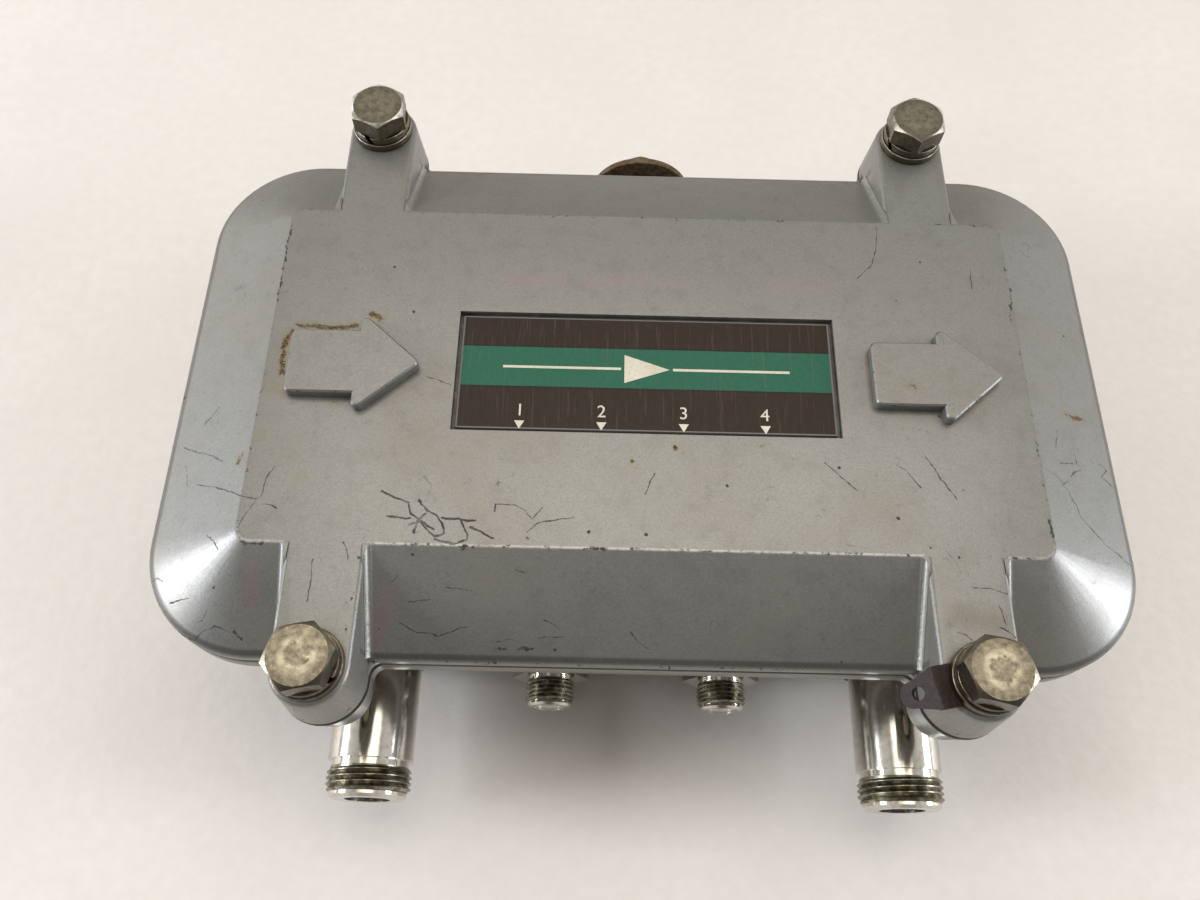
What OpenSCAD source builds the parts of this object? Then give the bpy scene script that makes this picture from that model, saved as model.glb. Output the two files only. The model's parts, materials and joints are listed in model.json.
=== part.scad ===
// Antenna preamplifier in a die-cast outdoor housing, in millimetres.
// The origin is the centre of the base's underside: +X to the right, +Y to the back, +Z up.
// The four ports leave the front (-Y) wall; the cover lifts off upwards.

/* [Housing] */
// Length of the rim, side to side
rim_l = 172.4; // [166:0.2:190]
// Depth of the rim, front to back
rim_w = 103.4; // [100:0.2:108]
// Corner radius of the rim
rim_r = 20; // [19:0.5:24]
// Height of the base, from its underside to the parting plane
base_h = 45; // [44:0.5:56]
// Height of the cover, from its lower face to its flat top
cover_h = 11.2; // [10:0.2:14]
// Gap that the gasket holds open between base and cover
parting_gap = 0.4; // [0.3:0.1:0.8]
// Wall thickness of both castings
wall_t = 3; // [2.5:0.1:3.5]
// Thickness of the base's floor
floor_t = 3.5; // [3:0.5:5]
// Width of the slope round the flat top, in plan
slope_w = 17.5; // [15:0.5:17.5]
// Height of the cover's upright lip
lip_h = 2.5; // [2:0.1:3.5]
// Radius of the shoulder that rounds the slope over towards the lip
shoulder_r = 4; // [2:0.5:6]
// Tilt at which the shoulder meets the lip, in degrees
shoulder_a = 50; // [40:1:60]
// Radius of the edge of the flat top
top_edge_r = 1.2; // [0.5:0.1:2]
// Radius of the small cast edges
edge_r = 0.4; // [0.2:0.1:0.8]
// Thickness of the base's flange
flange_t = 3.6; // [3:0.2:6]
// How far the base's walls stand in from the rim
wall_inset = 8.5; // [6:0.5:9]
// Draft of the base's walls, in degrees
wall_draft = 1.5; // [0:0.5:2]
// Radius of the base's lower edge and of the fillet under the flange
base_edge_r = 3; // [2:0.5:4]
// Radius of the fillets inside the base
inner_fillet_r = 2; // [1:0.5:3]

/* [Gasket] */
// Width of the gasket groove in the flange
groove_w = 3; // [2.4:0.1:3.6]
// Depth of the gasket groove
groove_d = 2; // [1.5:0.1:2.4]
// Land between the rim's edge and the groove
groove_land = 2.4; // [2:0.1:3]
// Clearance on each side of the gasket in its groove
gasket_gap = 0.1; // [0.05:0.05:0.3]

/* [Ears and bolts] */
// Distance between the bolts, side to side
bolt_span_x = 106.8; // [100:0.2:112]
// Distance between the bolts, front to back
bolt_span_y = 109; // [106:0.2:115]
// Half width of an ear at its top
ear_r = 6.6; // [6.4:0.1:8]
// Draft of the ears, in degrees
ear_draft = 5; // [2:0.5:8]
// Radius of the top edge of the ears
ear_edge_r = 0.9; // [0.5:0.1:1.4]
// Fillet between an ear and the slope
ear_fillet_r = 1.2; // [0.8:0.1:3]
// Fillet in plan between an ear and the rim
ear_root_r = 2; // [1:0.5:4]
// Height of the tapped ears on the base
base_ear_h = 11; // [9:0.5:13]
// Half width of a base ear at its lower end
base_ear_r = 5.8; // [5:0.1:6.4]
// Thread diameter of the bolts
bolt_d = 6; // [5:0.5:6]
// Width of the bolt heads across their flats
bolt_af = 10; // [9:0.5:11]
// Height of the bolt heads
bolt_head_h = 4; // [3.5:0.1:5]
// Length of the cover bolts under the head
bolt_len = 25; // [23:0.5:26]
// Radial clearance of the bolts in the ears of the cover
bolt_hole_gap = 0.3; // [0.2:0.05:0.5]
// Radial running clearance of a bolt in its tapped hole
thread_gap = 0.08; // [0.04:0.01:0.1]
// Angle that each head stopped at, front left, front right, rear left, rear right
head_turns = [12, 8, 20, 0];
// Outer diameter of the spring washers
spring_washer_d = 11; // [10.5:0.1:12]
// Thickness of the spring washers
spring_washer_t = 1.5; // [1.2:0.1:2]
// Width of the split in a spring washer
split_w = 0.9; // [0.5:0.1:1.5]
// Outer diameter of the flat washers
flat_washer_d = 11.7; // [11.2:0.1:13]
// Thickness of the flat washers
flat_washer_t = 1.6; // [1:0.1:2]

/* [Cover markings] */
// Length of the name plate's recess
recess_l = 69; // [60:0.5:76]
// Width of the name plate's recess
recess_w = 24.4; // [20:0.2:30]
// Depth of the name plate's recess
recess_d = 1.3; // [1:0.1:1.6]
// Margin round the plate in its recess
plate_margin = 0.7; // [0.3:0.1:1.5]
// Thickness of the name plate
plate_t = 0.8; // [0.5:0.1:1.2]
// Distance from the centre to the middle of each arrow
arrow_x = 52.3; // [50:0.1:54]
// Length of an arrow
arrow_l = 23.6; // [20:0.2:26]
// Length of an arrow's head
arrow_head_l = 11.5; // [9:0.1:13]
// Width of an arrow's head
arrow_head_w = 20.5; // [18:0.1:23]
// Width of an arrow's shaft
arrow_shaft_w = 12.8; // [10:0.1:14]
// Height of the arrows above the flat top
arrow_h = 2.2; // [1.5:0.1:3]
// Chamfer round the arrows' top
arrow_chamfer = 0.3; // [0.2:0.1:0.8]
// Radius of the arrows' corners
arrow_corner_r = 1; // [0.6:0.1:1.5]
// How far the arrows and the plate sit in front of the middle
marking_y = 0.5; // [0:0.1:2]

/* [Earth lug] */
// Thickness of the earth lug
lug_t = 0.8; // [0.6:0.1:1]
// Radius of the ring round the bolt
lug_ring_r = 5.7; // [5.5:0.1:6.2]
// Distance from the bolt to the bend
lug_bend_x = 7.6; // [7.2:0.1:9]
// Length of the tongue past the bend
lug_tongue_l = 6.4; // [6:0.1:9]
// Width of the tongue at the bend
lug_root_w = 6.8; // [6:0.1:8]
// Radius of the tongue's tip
lug_tip_r = 2.1; // [2:0.1:2.8]
// Distance from the bend to the solder hole
lug_hole_x = 3.2; // [2.8:0.1:4]
// Diameter of the solder hole
lug_hole_d = 2.2; // [2:0.1:3]
// Angle of the bend, in degrees
lug_bend = 48; // [30:1:60]
// Turn of the lug towards the front, in degrees
lug_turn = 11; // [0:1:20]

/* [Ports] */
// Height of the port axes above the underside
port_z = 17; // [15.5:0.5:19]
// Distance from one port to the next
port_pitch = 33.4; // [32:0.2:35]
// Distance from the centre to the face of the port bosses
port_face = 44.5; // [43.6:0.1:46]
// Thickness of the port bosses
port_boss_t = 6; // [5:0.5:7]
// Radius of the bosses round the large jacks
jack_boss_r = 11; // [10:0.5:11.5]
// Radius of the bosses round the small jacks
small_boss_r = 9; // [8:0.5:10]
// Diameter of a large jack's barrel
barrel_d = 15.8; // [15:0.1:16.5]
// Length of the barrel, from its seal to the neck
barrel_l = 18.4; // [16:0.1:20]
// Diameter of the neck behind the coupling thread
neck_d = 14.4; // [13.5:0.1:14.8]
// Length of the neck
neck_l = 1.3; // [1:0.1:2]
// Diameter of the coupling thread of a large jack
coupling_d = 15.88; // [15.6:0.02:16.2]
// Length of the coupling thread
coupling_l = 4.5; // [4:0.1:7]
// Length of the nose past the thread
nose_l = 1.1; // [0.8:0.1:1.5]
// Diameter of the nose
nose_d = 14.5; // [13.5:0.1:14.8]
// Diameter of the mouth of a large jack
mouth_d = 8.4; // [8:0.1:9]
// Depth of the mouth down to the insulator
mouth_depth = 9.4; // [8.5:0.1:11]
// Depth of the contact's tip behind the nose
contact_recess = 4.8; // [4.6:0.1:5.5]
// Diameter of a large jack's contact
contact_d = 3; // [2.6:0.1:3.2]
// Diameter of the socket in the contact
contact_hole_d = 1.7; // [1.5:0.1:1.9]
// Diameter of the panel thread of a large jack
panel_thread_d = 12.6; // [12:0.1:13]
// Distance across the wrench flats of a barrel
wrench_af = 14.2; // [13.5:0.1:14.8]
// Length of the wrench flats
wrench_l = 9; // [6:0.5:11]
// Angle of the wrench flats from upright, left jack then right jack
wrench_turns = [36, -16];
// Thickness of the seal under a large jack
seal_t = 1; // [0.8:0.1:1.5]
// Width of the large jacks' nuts across their flats
jack_nut_af = 17; // [16:0.5:18]
// Thickness of the large jacks' nuts
jack_nut_t = 3; // [2.5:0.5:4]
// Thickness of the lock washers behind the jacks
lock_washer_t = 0.8; // [0.6:0.1:1.2]
// Diameter of a small jack's thread
small_thread_d = 9.5; // [9.4:0.05:9.6]
// Length of the relief in that thread, past the nut
small_relief_l = 0.5; // [0.4:0.1:1]
// Diameter of the relief
small_relief_d = 8.4; // [8:0.1:8.8]
// Reach of a small jack past its boss
small_reach = 8.7; // [8:0.1:10]
// Chamfered nose of a small jack
small_nose_l = 0.9; // [0.6:0.1:1.2]
// Diameter of a small jack's insulator
small_bore_d = 6.2; // [5.6:0.1:6.6]
// Depth of a small jack's insulator behind its nose
small_recess = 0.5; // [0.3:0.1:1]
// Diameter of the hole in a small jack's insulator
small_hole_d = 1.4; // [1:0.1:1.6]
// Width of the small jacks' nuts across their flats
small_nut_af = 13; // [12:0.5:14]
// Thickness of the small jacks' nuts
small_nut_t = 2.2; // [2:0.1:3]
// Clearance of the jacks in their holes, and of pieces pushed into them
jack_gap = 0.03; // [0.02:0.01:0.06]

/* [Hanger] */
// Height of the hanger bolt above the underside
hanger_z = 29.5; // [27:0.5:31]
// Distance of the hanger boss's face in front of the rear ears' ends
hanger_inset = 0.5; // [0:0.1:3]
// Radius of the hanger boss at its face
hanger_boss_r = 6.7; // [6:0.1:7.5]
// Radius of the hanger boss at its root
hanger_root_r = 8.6; // [7.5:0.1:9.5]
// Outer diameter of the hanger washer
hanger_washer_d = 22; // [20:0.5:24]
// Thickness of the hanger washer
hanger_washer_t = 1.5; // [1.2:0.1:2]
// Length of the hanger bolt under its head
hanger_bolt_len = 16; // [14:0.5:18]

/* [Circuit] */
// Length of the circuit board
board_l = 118; // [112:1:126]
// Width of the circuit board
board_w = 56; // [54:1:58]
// Thickness of the circuit board
board_t = 1.6; // [1:0.2:2]
// Height of the posts under the board
post_h = 5.5; // [4:0.5:6.5]
// Radius of the posts
post_r = 3.5; // [3:0.5:4]
// Distance of the board's screws from its edges
screw_inset = 5; // [4.5:0.5:6]
// Thread diameter of the board screws
screw_d = 3; // [2.5:0.5:3]
// Length of the board screws under their head
screw_len = 6; // [5:0.5:6.5]
// Distance from the middle to the centre of the board
board_y = 4.5; // [3:0.5:6]
// Length of the screening can's walls
can_l = 52; // [48:1:58]
// Bare strip of the board in front of the screening can
can_front = 16; // [15:0.5:17]
// Height of the screening can's walls
can_h = 18; // [16:1:20]
// Sheet thickness of the screening can
can_t = 0.6; // [0.4:0.1:0.8]
// Wire diameter of the tuned coils
coil_wire_d = 1.2; // [1:0.1:1.4]
// Mean radius of the tuned coils
coil_r = 4; // [3.5:0.1:4.5]
// Full turns of a tuned coil, before the last half turn
coil_turns = 4; // [3:1:5]
// Rise of a coil per turn
coil_pitch = 2.4; // [2.2:0.1:2.6]
// Height of the coils' turns above the board
coil_leg_h = 4; // [3:0.5:5]
// Diameter of a trimmer capacitor
trimmer_d = 8; // [7:0.1:9]
// Height of a trimmer capacitor's base
trimmer_h = 5; // [4:0.5:6]
// Diameter of a trimmer's rotor
rotor_d = 5; // [4:0.1:5.5]
// Height of a trimmer's rotor
rotor_h = 2; // [1.5:0.1:3]
// Running clearance of a rotor in its base
rotor_gap = 0.06; // [0.04:0.01:0.1]
// Length, depth and height of a changeover relay
relay_size = [15, 20, 11.5];
// Diameter of the coaxial leads
coax_d = 2.2; // [1.8:0.1:2.4]
// Diameter of the hook-up wires
wire_d = 1.4; // [1:0.1:1.6]
// Distance of the screening can from the board's rear edge
can_margin = 6; // [5:0.5:7]
// Distance of the leads' feet and the supply parts from the board's front edge
lead_inset = 10; // [9:0.5:11]
// Gap between the relays and the parts in front of them
relay_front_gap = 4; // [3:0.5:5]
// Distance of the regulator and the resistors from the small jacks' axes
supply_offset = 12; // [11:0.5:13]
// Bend of the lead round the screening can's rear corners
bypass_bend = 6; // [5:0.5:8]
// Ease of the leads' bends
lead_ease = 5; // [4:0.5:6]
// Length, depth and height of the regulator's body
regulator_size = [10, 4.5, 9];
// Width, thickness and height of the regulator's tab
regulator_tab = [10, 1.3, 6];
// Width, thickness and height of the regulator's legs
regulator_leg = [0.8, 0.6, 4];
// Distance between the regulator's legs
leg_pitch = 2.54; // [2.5:0.01:2.6]
// Diameter of the hole in the regulator's tab
tab_hole_d = 3.6; // [3:0.1:4]
// Diameter of the smoothing capacitor
capacitor_d = 8; // [6:0.5:9]
// Height of the smoothing capacitor
capacitor_h = 12; // [10:0.5:14]

/* [Hidden] */
$fn = 64;

// Overlap that joins two shapes of one casting
sink = 0.4;
// Reach of a cutting tool past the face that it cuts
over = 1;
// Grid of the castings' profiles
grid = 0.001;

// Centres of the rim's corner arcs
corner_x = rim_l / 2 - rim_r;
corner_y = rim_w / 2 - rim_r;
// Levels of the castings
flange_z = base_h - flange_t;
cover_z = base_h + parting_gap;
top_z = cover_z + cover_h;
// Edge of the cover's flat top, as a radius about the corner centres
plateau_r = rim_r - slope_w;
plateau_y = corner_y + plateau_r;
// Centre of the shoulder's arc, and the slope that runs tangent to it from the flat top
shoulder = [
    rim_r - edge_r - (shoulder_r - edge_r) * sin(shoulder_a),
    lip_h - shoulder_r * cos(shoulder_a)
];
shoulder_way = shoulder - [plateau_r, cover_h];
slope_a = atan2(-shoulder_way.y, shoulder_way.x) - asin(shoulder_r / norm(shoulder_way));
// Inner radius of the land that presses on the gasket
land_r = rim_r - groove_land - groove_w - wall_t / 2;
// Walls of the base, as radii about the corner centres
wall_r = rim_r - wall_inset;
function wall_r_at(z) = wall_r - (flange_z - z) * tan(wall_draft);
function cavity_r_at(z) = wall_r_at(z) - wall_t;
// Bolts and ears
bolt_x = bolt_span_x / 2;
bolt_y = bolt_span_y / 2;
ear_foot_r = ear_r - ear_edge_r + ear_edge_r * cos(ear_draft)
    + (cover_h - ear_edge_r * (1 - sin(ear_draft))) * tan(ear_draft);
rim_face = bolt_y - rim_w / 2;
bolt_r = bolt_d / 2;
bolt_hole_r = bolt_r + bolt_hole_gap;
tapped_r = bolt_r + thread_gap;
head_z = top_z + flat_washer_t + spring_washer_t;
// Ports
large_x = 1.5 * port_pitch;
small_x = 0.5 * port_pitch;
barrel_end = seal_t + barrel_l;
thread_start = barrel_end + neck_l;
nose_start = thread_start + coupling_l;
tip = nose_start + nose_l;
tail = 5;
jack_rear = port_boss_t + lock_washer_t + jack_nut_t + 1.5;
small_flange_t = 2.5;
small_rear = port_boss_t + small_flange_t + 4;
// The hanger boss starts inside the rear wall and ends just short of the rear ears
hanger_face = bolt_y + ear_foot_r - hanger_inset;
hanger_boss_l = hanger_face - corner_y - cavity_r_at(hanger_z) - sink;
// Circuit
board_z = floor_t + post_h;
parts_z = board_z + board_t;
board_front = board_y - board_w / 2;
can_w = board_w - can_front - can_margin;
can_y = board_front + can_front + can_w / 2;
cell_x = can_l / 4;
trimmer_y = can_y + can_w / 4;
coil_y = can_y - can_w / 6;
transistor_reach = 5;
relay_x = (can_l / 2 + board_l / 2) / 2;
lead_front = board_front + lead_inset;
relay_y = lead_front + relay_front_gap + relay_size.y / 2;
seat_gap = 0.02;

// Points of an arc about c, from angle a0 to a1 in n steps
function arc(c, r, a0, a1, n) = [for (i = [0:n])
    let (a = a0 + (a1 - a0) * i / n) c + r * [cos(a), sin(a)]];
// A profile closed along the axis, for a revolve
function to_axis(p) = concat([[0, p[0].y]], p, [[0, p[len(p) - 1].y]]);
// A profile and its mirror image, each set off by d from the middle
function both_sides(p, d) = concat([for (q = p) [d + q.x, q.y]],
    [for (i = [len(p) - 1:-1:0]) [-d - p[i].x, p[i].y]]);
function unit(v) = v / norm(v);
// A point rounded to the grid, so that straight walls and round corners share their edges
function on_grid(p) = [for (v = p) round(v / grid) * grid];

// A profile of radius and height, carried round the corner centres of the rim
module round_the_rim(profile) {
    section = [for (p = profile) on_grid(p)];
    translate([-corner_x, 0, 0])
        rotate([90, 0, 90])
            linear_extrude(2 * corner_x)
                polygon(both_sides(section, corner_y));
    for (s = [0, 1])
        mirror([s, 0, 0]) {
            translate([corner_x, corner_y, 0])
                rotate([90, 0, 0])
                    linear_extrude(2 * corner_y)
                        polygon(to_axis(section));
            for (t = [0, 1])
                mirror([0, t, 0])
                    translate([corner_x, corner_y, 0])
                        rotate_extrude(angle = 90)
                            polygon(to_axis(section));
        }
}

// A rib with a round end about the origin, running inwards along +Y
module round_the_bolt(profile, reach) {
    translate([0, reach, 0])
        rotate([90, 0, 0])
            linear_extrude(reach)
                polygon(both_sides(profile, 0));
    rotate([0, 0, 180])
        rotate_extrude(angle = 180)
            polygon(to_axis(profile));
}

// Puts a child at each bolt, with +Y pointing inwards
module at_bolts() {
    for (sx = [-1, 1], t = [0, 1])
        mirror([0, t, 0])
            translate([sx * bolt_x, -bolt_y, 0])
                children();
}

// Section of a fillet of radius r in a corner of the given angle, floor along +X
module fillet_section(r, angle) {
    t = r / tan(angle / 2);
    wall = [cos(angle), sin(angle)];
    difference() {
        polygon([[-sink, -sink], [t, -sink], [t, 0], t * wall, t * wall - [sink, 0]]);
        translate([t, r])
            circle(r);
    }
}

// Fillets in plan where an ear leaves the rim
module ear_roots(h) {
    for (s = [0, 1])
        mirror([s, 0, 0])
            translate([ear_foot_r, rim_face, 0])
                linear_extrude(h)
                    mirror([0, 1])
                        fillet_section(ear_root_r, 90);
}

// Fillets where the sides of an ear stand on the slope, cut off level with the flat top
module ear_fillets() {
    angle = 90 + asin(sin(ear_draft) * cos(slope_a));
    lean = atan(sin(slope_a) * tan(ear_draft));
    run = (slope_w - edge_r) / cos(slope_a);
    intersection() {
        for (s = [0, 1])
            mirror([s, 0, 0])
                translate([ear_r, bolt_y - plateau_y, cover_h])
                    rotate([90 + slope_a, 0, 0])
                        rotate([0, lean, 0])
                            linear_extrude(run)
                                fillet_section(ear_fillet_r, angle);
        translate([-2 * ear_foot_r, -ear_foot_r, 0])
            cube([4 * ear_foot_r, bolt_y, cover_h]);
    }
}

// One half of an arrow: its outline with round corners, drawn in towards the top
module drawn_in(h, c) {
    r = arrow_corner_r;
    hull() {
        translate([0, 0, -sink])
            linear_extrude(h + sink - c)
                offset(r = r, $fn = 20)
                    offset(delta = -r)
                        children(0);
        linear_extrude(h)
            offset(r = r - c, $fn = 20)
                offset(delta = -r)
                    children(0);
    }
}

module arrow() {
    neck = arrow_l / 2 - arrow_head_l;
    drawn_in(arrow_h, arrow_chamfer)
        translate([-arrow_l / 2, -arrow_shaft_w / 2])
            square([arrow_l / 2 + neck + 2 * arrow_corner_r, arrow_shaft_w]);
    drawn_in(arrow_h, arrow_chamfer)
        polygon([[neck, -arrow_head_w / 2], [arrow_l / 2, 0], [neck, arrow_head_w / 2]]);
}

module cover_shell() {
    u = top_edge_r * tan(slope_a / 2);
    inner_top = plateau_r - wall_t * tan(slope_a / 2);
    inner_foot = cover_h - wall_t - (land_r - inner_top) * tan(slope_a);
    lip_edge = [rim_r - edge_r, lip_h - edge_r * cos(shoulder_a)];
    turn = (shoulder_a - slope_a) / 4;
    outside = concat(
        [[rim_r, 0]],
        arc(lip_edge, edge_r, 0, 90 - shoulder_a, 2),
        arc(shoulder, shoulder_r, 90 - shoulder_a + turn, 90 - slope_a, 3),
        arc([plateau_r - u, cover_h - top_edge_r], top_edge_r, 90 - slope_a, 90, 3)
    );
    inside = [[land_r, -over], [land_r, inner_foot], [inner_top, cover_h - wall_t]];
    ear = concat(
        [[ear_foot_r, 0]],
        arc([ear_r - ear_edge_r, cover_h - ear_edge_r], ear_edge_r, ear_draft, 90, 4)
    );
    difference() {
        union() {
            round_the_rim(outside);
            at_bolts() {
                round_the_bolt(ear, bolt_y - plateau_y + plateau_r);
                ear_fillets();
                ear_roots(lip_h - edge_r);
            }
            for (s = [-1, 1])
                translate([s * arrow_x, -marking_y, cover_h])
                    arrow();
        }
        round_the_rim(inside);
        at_bolts()
            translate([0, 0, -over])
                cylinder(h = cover_h + 2 * over, r = bolt_hole_r);
        translate([-recess_l / 2, -recess_w / 2 - marking_y, cover_h - recess_d])
            cube([recess_l, recess_w, recess_d + over]);
    }
}

module cover() {
    color("#9a9c98")
        translate([0, 0, cover_z])
            cover_shell();
}

// Puts a child at one port, with +Z pointing out of the front wall
module at_port(x) {
    translate([x, -port_face, port_z])
        rotate([90, 0, 0])
            children();
}

module at_large_ports() {
    for (s = [-1, 1])
        at_port(s * large_x)
            children();
}

module at_small_ports() {
    for (s = [-1, 1])
        at_port(s * small_x)
            children();
}

// Puts a child on the hanger's axis, with +Z pointing out of the back
module at_hanger() {
    translate([0, hanger_face, hanger_z])
        rotate([-90, 0, 0])
            children();
}

module at_board_screws() {
    for (sx = [-1, 1], sy = [-1, 1])
        translate([sx * (board_l / 2 - screw_inset), board_y + sy * (board_w / 2 - screw_inset), 0])
            children();
}

module base_body() {
    outside = concat(
        arc([wall_r_at(base_edge_r) - base_edge_r, base_edge_r], base_edge_r, -90, 0, 5),
        arc([wall_r + base_edge_r, flange_z - base_edge_r], base_edge_r, 180, 90, 5),
        arc([rim_r - edge_r, flange_z + edge_r], edge_r, -90, 0, 3),
        arc([rim_r - edge_r, base_h - edge_r], edge_r, 0, 90, 3)
    );
    cavity_foot = cavity_r_at(floor_t + inner_fillet_r);
    cavity = concat(
        arc([cavity_foot - inner_fillet_r, floor_t + inner_fillet_r], inner_fillet_r, -90, 0, 4),
        [[cavity_r_at(base_h), base_h + over]]
    );
    difference() {
        round_the_rim(outside);
        round_the_rim(cavity);
    }
}

// The tapped ears under the ears of the cover
module base_ears() {
    ear = [[base_ear_r, base_h - base_ear_h], [ear_foot_r, base_h]];
    at_bolts() {
        round_the_bolt(ear, bolt_y - corner_y - wall_r + wall_t / 2);
        translate([0, 0, flange_z + edge_r])
            ear_roots(flange_t - 2 * edge_r);
    }
}

module gasket_ring(low, high, gap) {
    outer = rim_r - groove_land - gap;
    inner = rim_r - groove_land - groove_w + gap;
    difference() {
        round_the_rim([[outer, low], [outer, high]]);
        round_the_rim([[inner, low - over], [inner, high + over]]);
    }
}

module base_housing() {
    color("#8f918d")
        difference() {
            union() {
                base_body();
                base_ears();
                at_large_ports()
                    translate([0, 0, -port_boss_t])
                        cylinder(h = port_boss_t, r = jack_boss_r);
                at_small_ports()
                    translate([0, 0, -port_boss_t])
                        cylinder(h = port_boss_t, r = small_boss_r);
                at_hanger()
                    translate([0, 0, -hanger_boss_l])
                        cylinder(h = hanger_boss_l, r1 = hanger_root_r, r2 = hanger_boss_r);
                at_board_screws()
                    translate([0, 0, floor_t - sink])
                        cylinder(h = post_h + sink, r = post_r);
            }
            gasket_ring(base_h - groove_d, base_h + over, 0);
            at_bolts()
                translate([0, 0, base_h - base_ear_h - over])
                    cylinder(h = base_ear_h + 2 * over, r = tapped_r);
            at_large_ports()
                translate([0, 0, -port_boss_t - over])
                    cylinder(h = port_boss_t + 2 * over, r = panel_thread_d / 2 + jack_gap);
            at_small_ports()
                translate([0, 0, -port_boss_t - over])
                    cylinder(h = port_boss_t + 2 * over, r = small_thread_d / 2 + jack_gap);
            at_hanger()
                translate([0, 0, -hanger_bolt_len])
                    cylinder(h = hanger_bolt_len + over, r = tapped_r);
            at_board_screws()
                translate([0, 0, board_z - screw_len])
                    cylinder(h = screw_len + over, r = screw_d / 2 + seat_gap);
        }
}

module cover_gasket() {
    color("#2b2b2a")
        gasket_ring(base_h - groove_d, cover_z, gasket_gap);
}

module name_plate() {
    color("#5a4334")
        translate([0, -marking_y, top_z - recess_d + plate_t / 2])
            cube([recess_l - 2 * plate_margin, recess_w - 2 * plate_margin, plate_t], center = true);
}

// A hexagon-headed bolt: its seat is at z = 0 and its thread runs down
module hex_bolt(length) {
    corner = bolt_af / 2 / cos(30);
    face = 0.475 * bolt_af;
    chamfer = (corner - face) * tan(30);
    intersection() {
        cylinder(h = bolt_head_h, r = corner, $fn = 6);
        rotate_extrude()
            polygon([
                [0, 0], [corner, 0], [corner, bolt_head_h - chamfer],
                [face, bolt_head_h], [0, bolt_head_h]
            ]);
    }
    rotate_extrude()
        polygon([[0, sink], [bolt_r, sink], [bolt_r, 1 - length], [bolt_r - 1, -length], [0, -length]]);
}

// Height that the lug adds under the front right bolt
function lug_lift(i) = i == 1 ? lug_t : 0;
// Places of the bolts: front left, front right, rear left, rear right
bolt_places = [[-bolt_x, -bolt_y], [bolt_x, -bolt_y], [-bolt_x, bolt_y], [bolt_x, bolt_y]];

module cover_bolt(i) {
    color("#a8a493")
        translate([bolt_places[i].x, bolt_places[i].y, head_z + lug_lift(i)])
            rotate([0, 0, head_turns[i]])
                hex_bolt(bolt_len);
}

module bolt_front_left() { cover_bolt(0); }
module bolt_front_right() { cover_bolt(1); }
module bolt_rear_left() { cover_bolt(2); }
module bolt_rear_right() { cover_bolt(3); }

module ring(d, hole_r, t) {
    difference() {
        cylinder(h = t, d = d);
        translate([0, 0, -over])
            cylinder(h = t + 2 * over, r = hole_r);
    }
}

// A split ring, its slit cut on the slant
module spring_washer() {
    difference() {
        ring(spring_washer_d, bolt_hole_r, spring_washer_t);
        rotate([30, 0, 0])
            translate([0, -split_w / 2, -spring_washer_d])
                cube([spring_washer_d, split_w, 2 * spring_washer_d]);
    }
}

module spring_washers() {
    color("#8d8a7e")
        for (i = [0:3])
            translate([bolt_places[i].x, bolt_places[i].y, head_z - spring_washer_t + lug_lift(i)])
                rotate([0, 0, -25 - 40 * i])
                    spring_washer();
}

module flat_washers() {
    color("#a39f90")
        for (i = [0:3])
            translate([bolt_places[i].x, bolt_places[i].y, top_z + lug_lift(i)])
                ring(flat_washer_d, bolt_hole_r, flat_washer_t);
}

// A solder lug under the front right bolt: a ring, then a tongue bent down past the ear's edge
module earth_lug() {
    tip_x = lug_tongue_l - lug_tip_r;
    color("#4a4642")
        translate([bolt_x, -bolt_y, top_z])
            rotate([0, 0, 180 + lug_turn]) {
                linear_extrude(lug_t)
                    difference() {
                        union() {
                            circle(lug_ring_r);
                            translate([0, -lug_root_w / 2])
                                square([lug_bend_x, lug_root_w]);
                        }
                        circle(bolt_hole_r);
                    }
                intersection() {
                    translate([lug_bend_x, 0, 0])
                        rotate([90, 0, 0])
                            cylinder(h = lug_root_w, r = lug_t, center = true);
                    translate([lug_bend_x, -lug_root_w, 0])
                        cube([lug_t, 2 * lug_root_w, lug_t]);
                }
                translate([lug_bend_x, 0, 0])
                    rotate([0, lug_bend, 0])
                        linear_extrude(lug_t)
                            difference() {
                                union() {
                                    polygon(concat(
                                        [[0, lug_root_w / 2], [0, -lug_root_w / 2]],
                                        [[tip_x, -lug_tip_r], [tip_x, lug_tip_r]]
                                    ));
                                    translate([tip_x, 0])
                                        circle(lug_tip_r);
                                }
                                translate([lug_hole_x, 0])
                                    circle(d = lug_hole_d);
                            }
            }
}

module hanger_bolt() {
    color("#8a7a62")
        at_hanger()
            translate([0, 0, hanger_washer_t + spring_washer_t])
                rotate([0, 0, 30])
                    hex_bolt(hanger_bolt_len);
}

module hanger_spring_washer() {
    color("#8d8a7e")
        at_hanger()
            translate([0, 0, hanger_washer_t])
                spring_washer();
}

module hanger_washer() {
    color("#6b5a46")
        at_hanger()
            ring(hanger_washer_d, bolt_hole_r, hanger_washer_t);
}

// Body of a large coaxial jack, turned as one piece, with two wrench flats
module large_jack(turn) {
    mouth_r = mouth_d / 2;
    chamfer = nose_l / 2;
    difference() {
        rotate_extrude()
            polygon([
                [mouth_r, -jack_rear], [panel_thread_d / 2, -jack_rear], [panel_thread_d / 2, seal_t],
                [barrel_d / 2, seal_t], [barrel_d / 2, barrel_end],
                [neck_d / 2, barrel_end], [neck_d / 2, thread_start],
                [coupling_d / 2, thread_start], [coupling_d / 2, nose_start],
                [nose_d / 2, nose_start], [nose_d / 2, tip - chamfer], [nose_d / 2 - chamfer, tip],
                [mouth_r, tip]
            ]);
        for (s = [0, 180])
            rotate([0, 0, turn + s])
                translate([-barrel_d, wrench_af / 2, seal_t - over])
                    cube([2 * barrel_d, barrel_d, wrench_l + over]);
    }
}

module antenna_jack() {
    color("#b9b4a2")
        at_port(-large_x)
            large_jack(wrench_turns[0]);
}

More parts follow.
